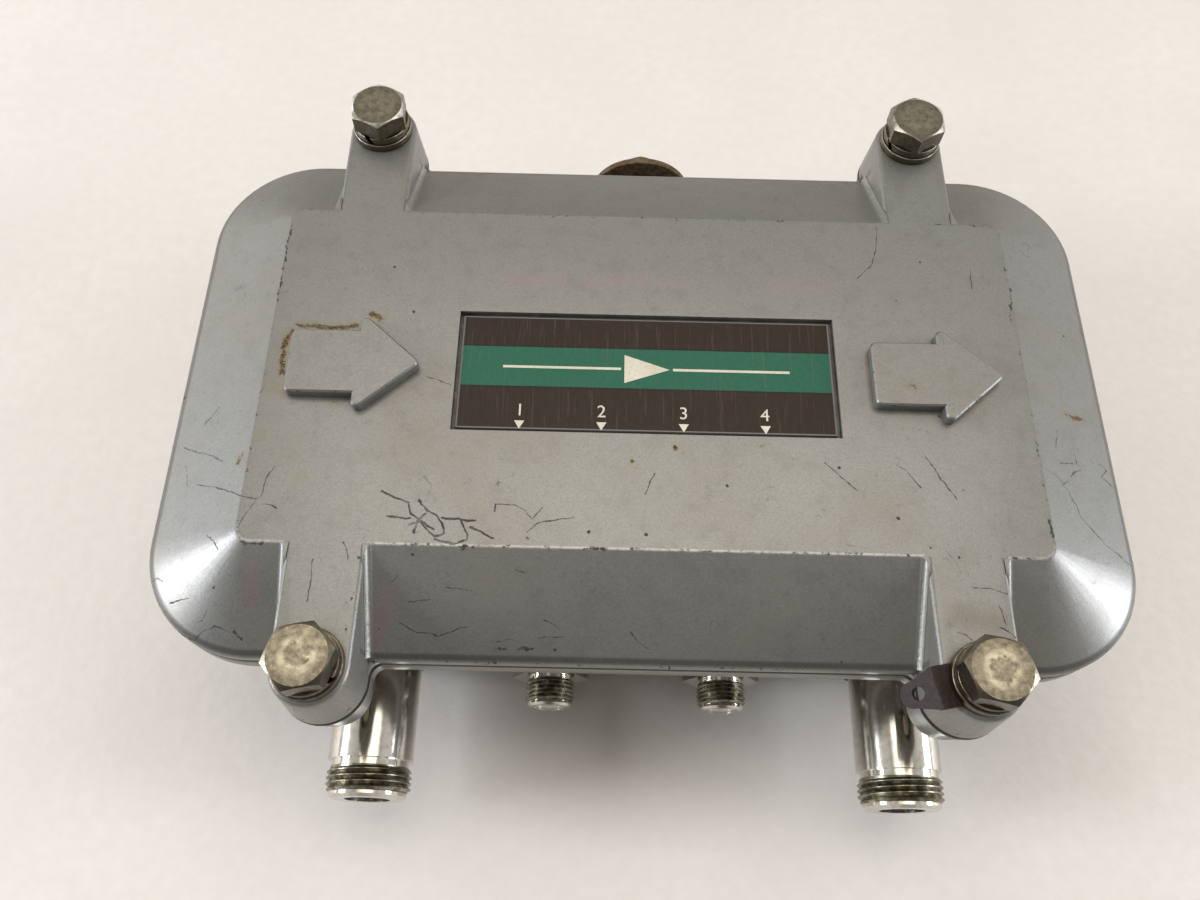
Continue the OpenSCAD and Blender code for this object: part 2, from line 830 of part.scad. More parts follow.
module transceiver_jack() {
    color("#b9b4a2")
        at_port(large_x)
            large_jack(wrench_turns[1]);
}

module jack_insulators() {
    color("#e8e4d8")
        at_large_ports()
            translate([0, 0, -jack_rear])
                difference() {
                    cylinder(h = jack_rear + tip - mouth_depth, r = mouth_d / 2 - jack_gap);
                    translate([0, 0, -over])
                        cylinder(h = jack_rear + tip + 2 * over, r = contact_d / 2 + jack_gap);
                }
}

module jack_contacts() {
    color("#c9a24a")
        at_large_ports()
            difference() {
                translate([0, 0, -jack_rear - tail])
                    cylinder(h = jack_rear + tail + tip - contact_recess, d = contact_d);
                translate([0, 0, tip - mouth_depth])
                    cylinder(h = mouth_depth, d = contact_hole_d);
            }
}

module jack_seals() {
    color("#2b2b2a")
        at_large_ports()
            ring(barrel_d + 2 * seal_t, panel_thread_d / 2 + jack_gap, seal_t);
}

module jack_lock_washers() {
    color("#8d8a7e")
        at_large_ports()
            translate([0, 0, -port_boss_t - lock_washer_t])
                ring(jack_nut_af, panel_thread_d / 2 + jack_gap, lock_washer_t);
}

// A hexagon nut about the Z axis
module hex_nut(af, hole_r, t) {
    difference() {
        cylinder(h = t, r = af / 2 / cos(30), $fn = 6);
        translate([0, 0, -over])
            cylinder(h = t + 2 * over, r = hole_r);
    }
}

module jack_nuts() {
    color("#b9b4a2")
        at_large_ports()
            translate([0, 0, -port_boss_t - lock_washer_t - jack_nut_t])
                hex_nut(jack_nut_af, panel_thread_d / 2 + jack_gap, jack_nut_t);
}

// Body of a small coaxial jack: an inner hexagon flange, then a long thread through the wall
module small_jack() {
    bore_r = small_bore_d / 2;
    thread_r = small_thread_d / 2;
    relief_r = small_relief_d / 2;
    rear_r = thread_r - 0.7;
    nut_face = lock_washer_t + small_nut_t;
    coupling_start = nut_face + small_relief_l;
    nose_r = thread_r - small_nose_l / 2;
    rotate_extrude()
        polygon([
            [bore_r, -small_rear], [rear_r, -small_rear], [rear_r, -port_boss_t - sink],
            [thread_r, -port_boss_t - sink], [thread_r, nut_face],
            [relief_r, nut_face], [relief_r, coupling_start],
            [thread_r, coupling_start], [thread_r, small_reach - small_nose_l],
            [nose_r, small_reach - small_nose_l], [nose_r, small_reach - small_nose_l / 2],
            [nose_r - small_nose_l / 2, small_reach], [bore_r, small_reach]
        ]);
    translate([0, 0, -port_boss_t - small_flange_t])
        hex_nut(small_nut_af, bore_r, small_flange_t);
}

module standby_jack() {
    color("#b9b4a2")
        at_port(-small_x)
            small_jack();
}

module power_jack() {
    color("#b9b4a2")
        at_port(small_x)
            small_jack();
}

module small_jack_insulators() {
    color("#e8e4d8")
        at_small_ports()
            translate([0, 0, -small_rear])
                difference() {
                    cylinder(h = small_rear + small_reach - small_recess, r = small_bore_d / 2 - jack_gap);
                    translate([0, 0, -over])
                        cylinder(h = small_rear + small_reach + 2 * over, d = small_hole_d);
                }
}

module small_jack_contacts() {
    color("#c9a24a")
        at_small_ports()
            translate([0, 0, -small_rear - tail])
                cylinder(h = small_rear + tail + small_reach / 2, r = small_hole_d / 2 - jack_gap);
}

module small_jack_lock_washers() {
    color("#8d8a7e")
        at_small_ports()
            ring(small_nut_af, small_thread_d / 2 + jack_gap, lock_washer_t);
}

module small_jack_nuts() {
    color("#b9b4a2")
        at_small_ports()
            translate([0, 0, lock_washer_t])
                hex_nut(small_nut_af, small_thread_d / 2 + jack_gap, small_nut_t);
}

module circuit_board() {
    color("#2f6b45")
        difference() {
            translate([-board_l / 2, board_front, board_z])
                cube([board_l, board_w, board_t]);
            at_board_screws()
                translate([0, 0, board_z - over])
                    cylinder(h = board_t + 2 * over, r = screw_d / 2 + bolt_hole_gap);
        }
}

// Cheese-head screws with a slot
module board_screws() {
    head_h = 0.6 * screw_d;
    head_d = 1.8 * screw_d;
    color("#b0ab9c")
        at_board_screws()
            translate([0, 0, parts_z])
                difference() {
                    rotate_extrude()
                        polygon([
                            [0, board_t - screw_len], [screw_d / 2, board_t - screw_len],
                            [screw_d / 2, 0], [head_d / 2, 0],
                            [head_d / 2, head_h], [0, head_h]
                        ]);
                    translate([0, 0, head_h])
                        cube([head_d + over, screw_d / 4, head_h], center = true);
                }
}

// Sheet walls round the amplifier, with a cross wall that is notched over the transistor
module screening_can() {
    notch = 2 * transistor_reach + 2;
    notch_h = 4;
    color("#b7b7b0")
        translate([0, can_y, parts_z])
            difference() {
                union() {
                    difference() {
                        translate([-can_l / 2, -can_w / 2, 0])
                            cube([can_l, can_w, can_h]);
                        translate([can_t - can_l / 2, can_t - can_w / 2, -over])
                            cube([can_l - 2 * can_t, can_w - 2 * can_t, can_h + 2 * over]);
                    }
                    translate([-can_t / 2, -can_w / 2, 0])
                        cube([can_t, can_w, can_h]);
                }
                translate([-notch / 2, coil_y - can_y - notch / 2, -over])
                    cube([notch, notch, notch_h + over]);
            }
}

// Unit vectors along a route, then one carried round it without twisting
function route_tangents(p) = [for (i = [0:len(p) - 1]) unit(p[min(i + 1, len(p) - 1)] - p[max(i - 1, 0)])];
function carried(t, n, i = 0) = i == len(t) ? [] :
    let (m = unit(n - (n * t[i]) * t[i])) concat([m], carried(t, m, i + 1));

// A round tube of k sides along a route, closed at both ends
module tube(route, d, k, side) {
    t = route_tangents(route);
    n = carried(t, side);
    last = len(route) - 1;
    points = [for (i = [0:last], j = [0:k - 1])
        route[i] + d / 2 * (cos(360 * j / k) * n[i] + sin(360 * j / k) * cross(t[i], n[i]))];
    walls = [for (i = [0:last - 1], j = [0:k - 1])
        let (a = i * k + j, b = i * k + (j + 1) % k)
        each [[a, a + k, b], [b, a + k, b + k]]];
    ends = [for (j = [1:k - 2]) each [[0, j, j + 1], [last * k, last * k + j + 1, last * k + j]]];
    polyhedron(points, concat(walls, ends));
}

// Route of an air-wound coil: a leg up from the board, the turns, and a leg down on the other side
coil_steps = 24;
function coil_route(turns) =
    let (half = (turns + 0.5) * coil_pitch / 2, axis_z = coil_r + coil_leg_h, foot = seat_gap)
    concat(
        [[-half, coil_r, foot], [-half, coil_r, axis_z / 2]],
        [for (i = [0:(turns + 0.5) * coil_steps])
            [-half + coil_pitch * i / coil_steps, coil_r * cos(360 * i / coil_steps),
             axis_z + coil_r * sin(360 * i / coil_steps)]],
        [[half, -coil_r, axis_z / 2], [half, -coil_r, foot]]
    );
// Least clear distance between points of a route that lie at least skip steps apart
function least_gap(p, skip, d) =
    min([for (i = [0:len(p) - 1 - skip], j = [i + skip:len(p) - 1]) norm(p[i] - p[j])]) - d;
echo(coil_gap = least_gap(coil_route(coil_turns), coil_steps / 2, coil_wire_d));

module tuned_coil(x) {
    color("#c98a55")
        translate([x, coil_y, parts_z])
            tube(coil_route(coil_turns), coil_wire_d, 6, [1, 0, 0]);
}

module input_coil() { tuned_coil(-cell_x); }
module output_coil() { tuned_coil(cell_x); }

module trimmer_bases() {
    color("#d8d2bf")
        for (s = [-1, 1])
            translate([s * cell_x, trimmer_y, parts_z])
                difference() {
                    cylinder(h = trimmer_h, d = trimmer_d);
                    translate([0, 0, trimmer_h - rotor_h / 2])
                        cylinder(h = rotor_h, r = rotor_d / 2 + rotor_gap);
                }
}

// A rotor sunk half its height in its base, with a driver slot
module trimmer_rotor(x) {
    slot_w = rotor_d / 5;
    color("#b59a54")
        translate([x, trimmer_y, parts_z + trimmer_h - rotor_h / 2 + rotor_gap])
            difference() {
                cylinder(h = rotor_h, d = rotor_d);
                translate([0, 0, rotor_h])
                    cube([rotor_d + over, slot_w, rotor_h], center = true);
            }
}

module input_trimmer_rotor() { trimmer_rotor(-cell_x); }
module output_trimmer_rotor() { trimmer_rotor(cell_x); }

// A small disc transistor with four flat leads on the board
module transistor() {
    disc_r = 2.4;
    disc_h = 1.8;
    lead = [transistor_reach, 0.8, 0.4];
    color("#e6e0d4")
        translate([0, coil_y, parts_z]) {
            cylinder(h = disc_h, r = disc_r);
            for (a = [0:90:270])
                rotate([0, 0, a])
                    translate([0, -lead.y / 2, 0])
                        cube(lead);
        }
}

// A sealed relay: a case on a wider foot
module relay(x) {
    foot_h = 1.5;
    step = 0.5;
    color("#2c2f36")
        translate([x, relay_y, parts_z]) {
            translate([-relay_size.x / 2, -relay_size.y / 2, 0])
                cube([relay_size.x, relay_size.y, foot_h]);
            translate([step - relay_size.x / 2, step - relay_size.y / 2, foot_h - sink])
                cube([relay_size.x - 2 * step, relay_size.y - 2 * step, relay_size.z - foot_h + sink]);
        }
}

module input_relay() { relay(-relay_x); }
module output_relay() { relay(relay_x); }

// Points of a smooth bend from a to d, leaving towards b and arriving from c
function bezier(a, b, c, d, n) = [for (i = [0:n]) let (t = i / n, s = 1 - t)
    s * s * s * a + 3 * s * s * t * b + 3 * s * t * t * c + t * t * t * d];
contact_end = jack_rear + tail - port_face;
small_contact_end = small_rear + tail - port_face;

// Route of a lead that leaves a contact along +Y and comes down square to the board
function bent_lead(from, to, d, ease, n) = concat([from],
    bezier(from + [0, d, 0], from + [0, d + ease, 0], to + [0, 0, d + ease], to + [0, 0, d], n), [to]);

// Coaxial lead from a large jack's contact down to the board in front of its relay
module jack_coax(x, to_x) {
    from = [x, contact_end + seat_gap, port_z];
    to = [to_x, lead_front, parts_z + seat_gap];
    color("#c9b89a")
        tube(bent_lead(from, to, coax_d, lead_ease, 14), coax_d, 8, [1, 0, 0]);
}

module antenna_coax() { jack_coax(-large_x, -relay_x); }
module transceiver_coax() { jack_coax(large_x, relay_x); }

// Coaxial lead that joins the two relays round the back of the screening can
module bypass_coax() {
    back_y = can_y + can_w / 2 + coax_d;
    side_x = relay_x - 4;
    from_y = relay_y + relay_size.y / 2 + coax_d;
    lead_z = parts_z + coax_d / 2 + seat_gap;
    half = concat(
        [[-side_x, from_y, lead_z]],
        bezier([-side_x, back_y - bypass_bend, lead_z], [-side_x, back_y - bypass_bend / 3, lead_z],
            [-side_x + bypass_bend / 3, back_y, lead_z], [-side_x + bypass_bend, back_y, lead_z], 8)
    );
    route = concat(half, [for (i = [len(half) - 1:-1:0]) [-half[i].x, half[i].y, half[i].z]]);
    color("#c9b89a")
        tube(route, coax_d, 8, [0, 0, 1]);
}

// Hook-up wire from a small jack's contact down to the front edge of the board
module jack_wire(x, tint) {
    from = [x, small_contact_end + seat_gap, port_z];
    to = [x, board_front + 4, parts_z + seat_gap];
    color(tint)
        tube(bent_lead(from, to, wire_d, lead_ease / 2, 10), wire_d, 8, [1, 0, 0]);
}

module standby_wire() { jack_wire(-small_x, "#c7b23a"); }
module power_wire() { jack_wire(small_x, "#a8332b"); }

// A three-legged regulator standing on the board with its tab to the back
module voltage_regulator() {
    body = regulator_size;
    tab = regulator_tab;
    leg = regulator_leg;
    color("#2a2a2c")
        translate([small_x + supply_offset, lead_front, parts_z]) {
            translate([-body.x / 2, -body.y / 2, leg.z - sink])
                cube([body.x, body.y, body.z + sink]);
            difference() {
                translate([-tab.x / 2, body.y / 2 - tab.y, leg.z + body.z - sink])
                    cube([tab.x, tab.y, tab.z + sink]);
                translate([0, body.y, leg.z + body.z + tab.z / 2])
                    rotate([90, 0, 0])
                        cylinder(h = 2 * body.y, d = tab_hole_d);
            }
            for (i = [-1:1])
                translate([i * leg_pitch - leg.x / 2, -leg.y / 2, 0])
                    cube([leg.x, leg.y, leg.z]);
        }
}

// An upright can with the usual groove near its foot
module smoothing_capacitor() {
    groove_z = 2;
    groove_r = 0.5;
    color("#22304f")
        translate([0, lead_front, parts_z])
            difference() {
                cylinder(h = capacitor_h, d = capacitor_d);
                rotate_extrude()
                    translate([capacitor_d / 2, groove_z])
                        circle(groove_r, $fn = 16);
            }
}

// Axial resistors lying on the board on bent leads
module resistors() {
    body_d = 2.2;
    body_l = 6;
    span = 10;
    lead_d = 0.6;
    row = 4.5;
    axis_z = body_d / 2 + seat_gap;
    color("#b99a6b")
        for (i = [0:2])
            translate([-small_x - supply_offset, board_front + 5 + row * i, parts_z + axis_z]) {
                rotate([0, 90, 0])
                    cylinder(h = body_l, d = body_d, center = true);
                rotate([0, 90, 0])
                    cylinder(h = span, d = lead_d, center = true);
                for (s = [-1, 1])
                    translate([s * (span - lead_d) / 2, 0, -axis_z])
                        cylinder(h = axis_z, d = lead_d);
            }
}

base_housing();
cover();
cover_gasket();
name_plate();
bolt_front_left();
bolt_front_right();
bolt_rear_left();
bolt_rear_right();
spring_washers();
flat_washers();
earth_lug();
hanger_bolt();
hanger_spring_washer();
hanger_washer();
antenna_jack();
transceiver_jack();
jack_insulators();
jack_contacts();
jack_seals();
jack_lock_washers();
jack_nuts();
standby_jack();
power_jack();
small_jack_insulators();
small_jack_contacts();
small_jack_lock_washers();
small_jack_nuts();
circuit_board();
board_screws();
screening_can();
input_coil();
output_coil();
trimmer_bases();
input_trimmer_rotor();
output_trimmer_rotor();
transistor();
input_relay();
output_relay();
antenna_coax();
transceiver_coax();
bypass_coax();
standby_wire();
power_wire();
voltage_regulator();
smoothing_capacitor();
resistors();
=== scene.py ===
import json
import math

import bmesh
import bpy
from mathutils import Matrix, Vector


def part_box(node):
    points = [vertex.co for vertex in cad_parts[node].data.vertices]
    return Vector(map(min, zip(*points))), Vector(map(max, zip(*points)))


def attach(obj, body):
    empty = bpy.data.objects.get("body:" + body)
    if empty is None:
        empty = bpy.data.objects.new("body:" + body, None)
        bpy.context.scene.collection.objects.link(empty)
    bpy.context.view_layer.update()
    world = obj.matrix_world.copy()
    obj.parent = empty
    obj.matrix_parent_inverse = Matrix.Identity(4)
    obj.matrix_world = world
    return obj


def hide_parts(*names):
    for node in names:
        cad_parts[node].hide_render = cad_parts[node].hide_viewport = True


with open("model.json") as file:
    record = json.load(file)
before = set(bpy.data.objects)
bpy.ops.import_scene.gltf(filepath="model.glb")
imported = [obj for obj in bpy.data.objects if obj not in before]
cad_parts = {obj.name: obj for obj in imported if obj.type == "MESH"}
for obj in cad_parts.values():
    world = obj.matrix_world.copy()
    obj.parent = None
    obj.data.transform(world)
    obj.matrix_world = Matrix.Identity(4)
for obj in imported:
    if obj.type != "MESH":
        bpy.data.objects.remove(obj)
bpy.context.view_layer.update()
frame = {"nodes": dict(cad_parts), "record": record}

MM = 0.001
RECORD = frame["record"]
NODE_BODY = {node: body for body, nodes in RECORD["behaviour"]["bodies"].items() for node in nodes}

# Main lengths of the casting, in millimetres
CORNER = (66.2, 31.7)
PLATEAU_R, RIM_R = 2.5, 20.0
PLATEAU_Z, ARROW_Z, LIP_Z, COVER_Z = 56.6, 58.8, 47.7, 45.4
SLOPE = math.tan(math.radians(25.4))
BOLT = (53.4, 54.5)
EAR_R = 6.9
BASE_WALL_R = 9.6
# Levels and places that part painted from bare, and the levels where the painted shade on the base's walls
# below the flange starts and is full
BASE_UNDERSIDE, HOLLOW_TOP, HOLLOW_HALF_Y = 2.0, 53.0, 48.0
SHADE_FROM, SHADE_FULL_AT = 42.5, 38.0
PORT_Z, PORT_Y = 17.0, -44.5
LARGE_X, SMALL_X = 50.1, 16.7
HANGER_Z = 29.5
BOARD_TOP = 10.6
# Cut threads along their axes: start, length, root radius, crest radius and pitch
BOLT_THREAD = (-28.0, 24.0, 2.45, 3.0, 1.0)
HANGER_THREAD = (-19.0, 15.0, 2.45, 3.0, 1.0)
LARGE_THREAD = (20.7, 4.5, 7.32, 7.94, 1.058)
SMALL_THREAD = (3.5, 4.3, 4.36, 4.75, 0.794)


# Camera at the photograph's place, looking down on the front of the box
CAMERA_AT = Vector((-9.01, -88.51, 214.09)) * MM
PITCH, YAW, ROLL = math.radians(65.28), math.radians(-0.70), math.radians(1.96)
FOCAL_PIXELS, IMAGE_WIDTH, IMAGE_HEIGHT, SENSOR = 996.6, 1200, 900, 36.0

turn = Matrix.Rotation(YAW, 3, "Z")
ahead = turn @ Vector((0, math.cos(PITCH), -math.sin(PITCH)))
level = turn @ Vector((1, 0, 0))
upward = turn @ Vector((0, math.sin(PITCH), math.cos(PITCH)))
side = math.cos(ROLL) * level + math.sin(ROLL) * upward
top = math.cos(ROLL) * upward - math.sin(ROLL) * level
camera_data = bpy.data.cameras.new("camera")
camera_data.sensor_fit = "HORIZONTAL"
camera_data.sensor_width = SENSOR
camera_data.lens = SENSOR * FOCAL_PIXELS / IMAGE_WIDTH
camera_data.clip_start, camera_data.clip_end = 0.01, 20
camera = bpy.data.objects.new("camera", camera_data)
camera.matrix_world = Matrix.Translation(CAMERA_AT) @ Matrix((side, top, -ahead)).transposed().to_4x4()
bpy.context.scene.collection.objects.link(camera)
bpy.context.scene.camera = camera
bpy.context.scene.view_settings.view_transform = "Standard"


def on_cover(px, py):
    """The place on the cover, in mm seen from above, that the photograph shows at a pixel."""
    ray = ahead + (side * (px - IMAGE_WIDTH / 2) - top * (py - IMAGE_HEIGHT / 2)) / FOCAL_PIXELS
    z = PLATEAU_Z
    for _ in range(30):
        at = CAMERA_AT / MM + ray * (z - CAMERA_AT.z / MM) / ray.z
        out = math.hypot(max(abs(at.x) - CORNER[0], 0), max(abs(at.y) - CORNER[1], 0))
        on_ear = abs(abs(at.x) - BOLT[0]) < EAR_R
        z = PLATEAU_Z if on_ear else PLATEAU_Z - max(out - PLATEAU_R, 0) * SLOPE
    return at.x, at.y


def runs(strokes):
    """Strokes through pixels of the photograph as straight runs on the cover, seen from above."""
    places = [[on_cover(*pixel) for pixel in stroke] for stroke in strokes]
    return [run for stroke in places for run in zip(stroke, stroke[1:])]


def linear(code):
    """An sRGB hex colour as linear RGBA."""
    parts = [int(code[i:i + 2], 16) / 255 for i in (1, 3, 5)]
    return [c / 12.92 if c <= 0.04045 else ((c + 0.055) / 1.055) ** 2.4 for c in parts] + [1.0]


def add(tree, kind, inputs=None, **settings):
    """One shader node with its settings, its constants and its links."""
    node = tree.nodes.new("ShaderNode" + kind)
    for key, value in settings.items():
        setattr(node, key, value)
    for key, value in (inputs or {}).items():
        if isinstance(value, bpy.types.NodeSocket):
            tree.links.new(value, node.inputs[key])
        else:
            node.inputs[key].default_value = value
    return node


def start_finish(name, **constants):
    """A new material, its node tree and shader, and the place on the part in millimetres."""
    material = bpy.data.materials.new(name)
    material.use_nodes = True
    tree = material.node_tree
    shader = tree.nodes["Principled BSDF"]
    for key, value in constants.items():
        shader.inputs[key.replace("_", " ")].default_value = value
    place = add(tree, "TexCoord").outputs["Object"]
    place = add(tree, "VectorMath", {0: place, 1: (1000, 1000, 1000)}, operation="MULTIPLY").outputs[0]
    return material, tree, shader, place


def stack(tree, colour, layers):
    """Colours laid over a colour, each by its own mask."""
    colour = linear(colour) if isinstance(colour, str) else colour
    for mask, over in layers:
        over = linear(over) if isinstance(over, str) else over
        colour = add(tree, "Mix", {0: mask, 6: colour, 7: over}, data_type="RGBA").outputs[2]
    return colour


def band(tree, value, centre, none_at, full_at, share=1.0):
    """A mask by a value's distance from a level: nothing at one distance, its whole share at another."""
    off = add(tree, "Math", {0: value, 1: centre}, operation="SUBTRACT").outputs[0]
    off = add(tree, "Math", {0: off}, operation="ABSOLUTE").outputs[0]
    return add(tree, "MapRange", {0: off, 1: none_at, 2: full_at, 4: share}).outputs[0]


def wire(tree, shader, **sockets):
    """Links what a finish varies, such as its colour, to the shader."""
    for name, value in sockets.items():
        tree.links.new(value, shader.inputs[name.replace("_", " ")])


def grained(name, pale, dark, grain, rough, bump, **constants):
    """A plain finish: two close colours in a grain of that size in mm, varied roughness, and relief."""
    material, tree, shader, place = start_finish(name, **constants)
    fine = add(tree, "TexNoise", {"Vector": place, "Scale": 1 / grain, "Detail": 4.0}).outputs[0]
    broad = add(tree, "TexNoise", {"Vector": place, "Scale": 0.07 / grain, "Detail": 2.0}).outputs[0]
    both = add(tree, "Math", {0: fine, 1: broad}, operation="MULTIPLY").outputs[0]
    share = add(tree, "MapRange", {0: both, 1: 0.1, 2: 0.42}).outputs[0]
    colour = stack(tree, dark, [(share, pale)])
    roughness = add(tree, "MapRange", {0: fine, 1: 0.25, 2: 0.75, 3: rough[0], 4: rough[1]}).outputs[0]
    relief = add(tree, "Bump", {"Strength": bump, "Distance": grain * MM, "Height": fine}).outputs[0]
    wire(tree, shader, Base_Color=colour, Roughness=roughness, Normal=relief)
    return material


def streak_distance(tree, place, segments):
    """Distance in mm from the nearest of some straight runs, seen from above."""
    nearest = None
    for (ax, ay), (bx, by) in segments:
        run = Vector((bx - ax, by - ay, 0))
        local = add(tree, "VectorMath", {0: place, 1: (ax, ay, 0)}, operation="SUBTRACT").outputs[0]
        along = add(tree, "VectorMath", {0: local, 1: run / run.length_squared}, operation="DOT_PRODUCT")
        along = add(tree, "Clamp", {0: along.outputs["Value"]})
        foot = add(tree, "VectorMath", {0: run, "Scale": along.outputs[0]}, operation="SCALE").outputs[0]
        far = add(tree, "VectorMath", {0: local, 1: foot}, operation="DISTANCE").outputs["Value"]
        nearest = far if nearest is None else add(
            tree, "Math", {0: nearest, 1: far}, operation="MINIMUM").outputs[0]
    return nearest


# Marks in the cover's paint, as strokes through pixels of the 1200 by 900 photograph
SCRIBBLE = [
    [(382, 491), (395, 498), (409, 503)], [(470, 527), (493, 538)], [(387, 516), (410, 519)],
    [(409, 505), (411, 514), (419, 520), (426, 529), (434, 536), (444, 533), (442, 523), (436, 516),
     (426, 510), (419, 501)],
    [(426, 514), (417, 520), (414, 533)], [(409, 525), (421, 521), (433, 529)],
    [(442, 518), (459, 519), (475, 521)], [(460, 519), (467, 534), (466, 540), (453, 544), (435, 539)],
]
FRONT_LEFT_CRACKS = [
    [(275, 466), (266, 478), (262, 494), (257, 500), (246, 513), (237, 527)],
    [(196, 485), (211, 486), (222, 489), (242, 496), (257, 500)], [(266, 504), (277, 507)],
    [(220, 407), (205, 424)], [(149, 583), (156, 579), (163, 581)], [(170, 603), (178, 601), (188, 599)],
    [(176, 631), (186, 638), (194, 640), (203, 631), (214, 626), (230, 633)],
    [(197, 622), (202, 620), (207, 610)],
    [(184, 448), (215, 457), (223, 461)], [(187, 486), (186, 465)], [(206, 535), (214, 541), (218, 549)],
]
FRONT_SLOPE_SCRATCHES = [
    [(515, 569), (524, 573)], [(446, 588), (473, 590)], [(408, 602), (430, 599)], [(538, 638), (565, 637)],
    [(399, 622), (417, 632), (439, 636), (468, 626)], [(544, 620), (559, 629)],
    [(497, 642), (508, 639), (515, 641)],
    [(630, 631), (638, 641), (649, 648)], [(392, 582), (398, 575)],
]
TOP_SCRATCHES = [
    [(495, 512), (496, 504), (515, 505), (525, 510), (533, 519), (542, 507)],
    [(527, 532), (537, 524), (549, 521), (573, 517)], [(645, 494), (650, 482), (655, 473)],
    [(926, 457), (937, 472), (957, 500)], [(896, 465), (906, 471), (922, 488)], [(427, 376), (451, 385)],
    [(876, 228), (877, 242), (872, 264), (857, 279)], [(970, 268), (972, 289)], [(825, 463), (858, 491)],
]
RIGHT_BEVEL_SCRATCHES = [
    [(1041, 465), (1059, 478), (1075, 503), (1082, 519), (1104, 543), (1132, 566)],
    [(1061, 464), (1073, 463)],
    [(1074, 454), (1077, 463)], [(1071, 477), (1075, 472), (1081, 471)], [(1062, 485), (1068, 482)],
    [(1057, 430), (1056, 448)], [(1100, 464), (1107, 471), (1101, 477), (1113, 487)],
]
EAR_SCRATCHES = [
    [(974, 588), (991, 589), (1008, 594)], [(998, 605), (1003, 615), (1007, 625)], [(1001, 627), (1016, 637)],
    [(957, 633), (967, 635), (971, 639)], [(313, 559), (310, 584), (307, 601)], [(344, 542), (349, 559)],
]
# Places where the paint is gone: long chips along the edges, and blots
CHIPS = [
    [(292, 227), (287, 246), (284, 268), (277, 300)], [(241, 542), (262, 543)], [(455, 547), (474, 547)],
    [(583, 549), (604, 549)], [(1011, 289), (1011, 321)], [(1050, 521), (1053, 538)],
    [(234, 632), (241, 640)],
    [(496, 649), (506, 649)], [(520, 649), (533, 648)], [(527, 537), (528, 539)], [(420, 500), (422, 503)],
    [(459, 518), (461, 519)], [(962, 489), (963, 491)], [(928, 224), (946, 225)], [(1063, 484), (1066, 483)],
    [(353, 592), (351, 600)], [(348, 607), (347, 612)], [(347, 626), (346, 632)], [(357, 556), (359, 558)],
]
# Rust that has crept out round the left arrow, and rust spots
RUST_RUNS = [
    [(299, 326), (332, 328), (355, 326)], [(292, 331), (286, 340), (283, 356), (281, 372)],
    [(371, 314), (381, 319)],
]
RUST_SPOTS = [
    [(242, 455), (238, 463)], [(1065, 414), (1084, 421)], [(675, 447), (676, 448)], [(632, 462), (633, 462)],
    [(762, 446), (763, 446)], [(335, 402), (336, 402)], [(906, 391), (911, 392)],
]
# Faint smudges behind the plate and beside the front left ear, and a soft stain on the front right ear
SMUDGES = [
    [(512, 280), (560, 279)], [(590, 283), (640, 280)], [(662, 281), (690, 284)],
    [(770, 286), (835, 288)], [(253, 568), (251, 602)], [(385, 590), (378, 640)],
]
EAR_STAIN = [[(965, 617), (990, 622)]]
# Dried water drops and an ochre blot beside the left arrow
WATER_DROPS = [[(259, 435), (260, 435)], [(301, 477), (302, 477)], [(270, 385), (282, 391)]]


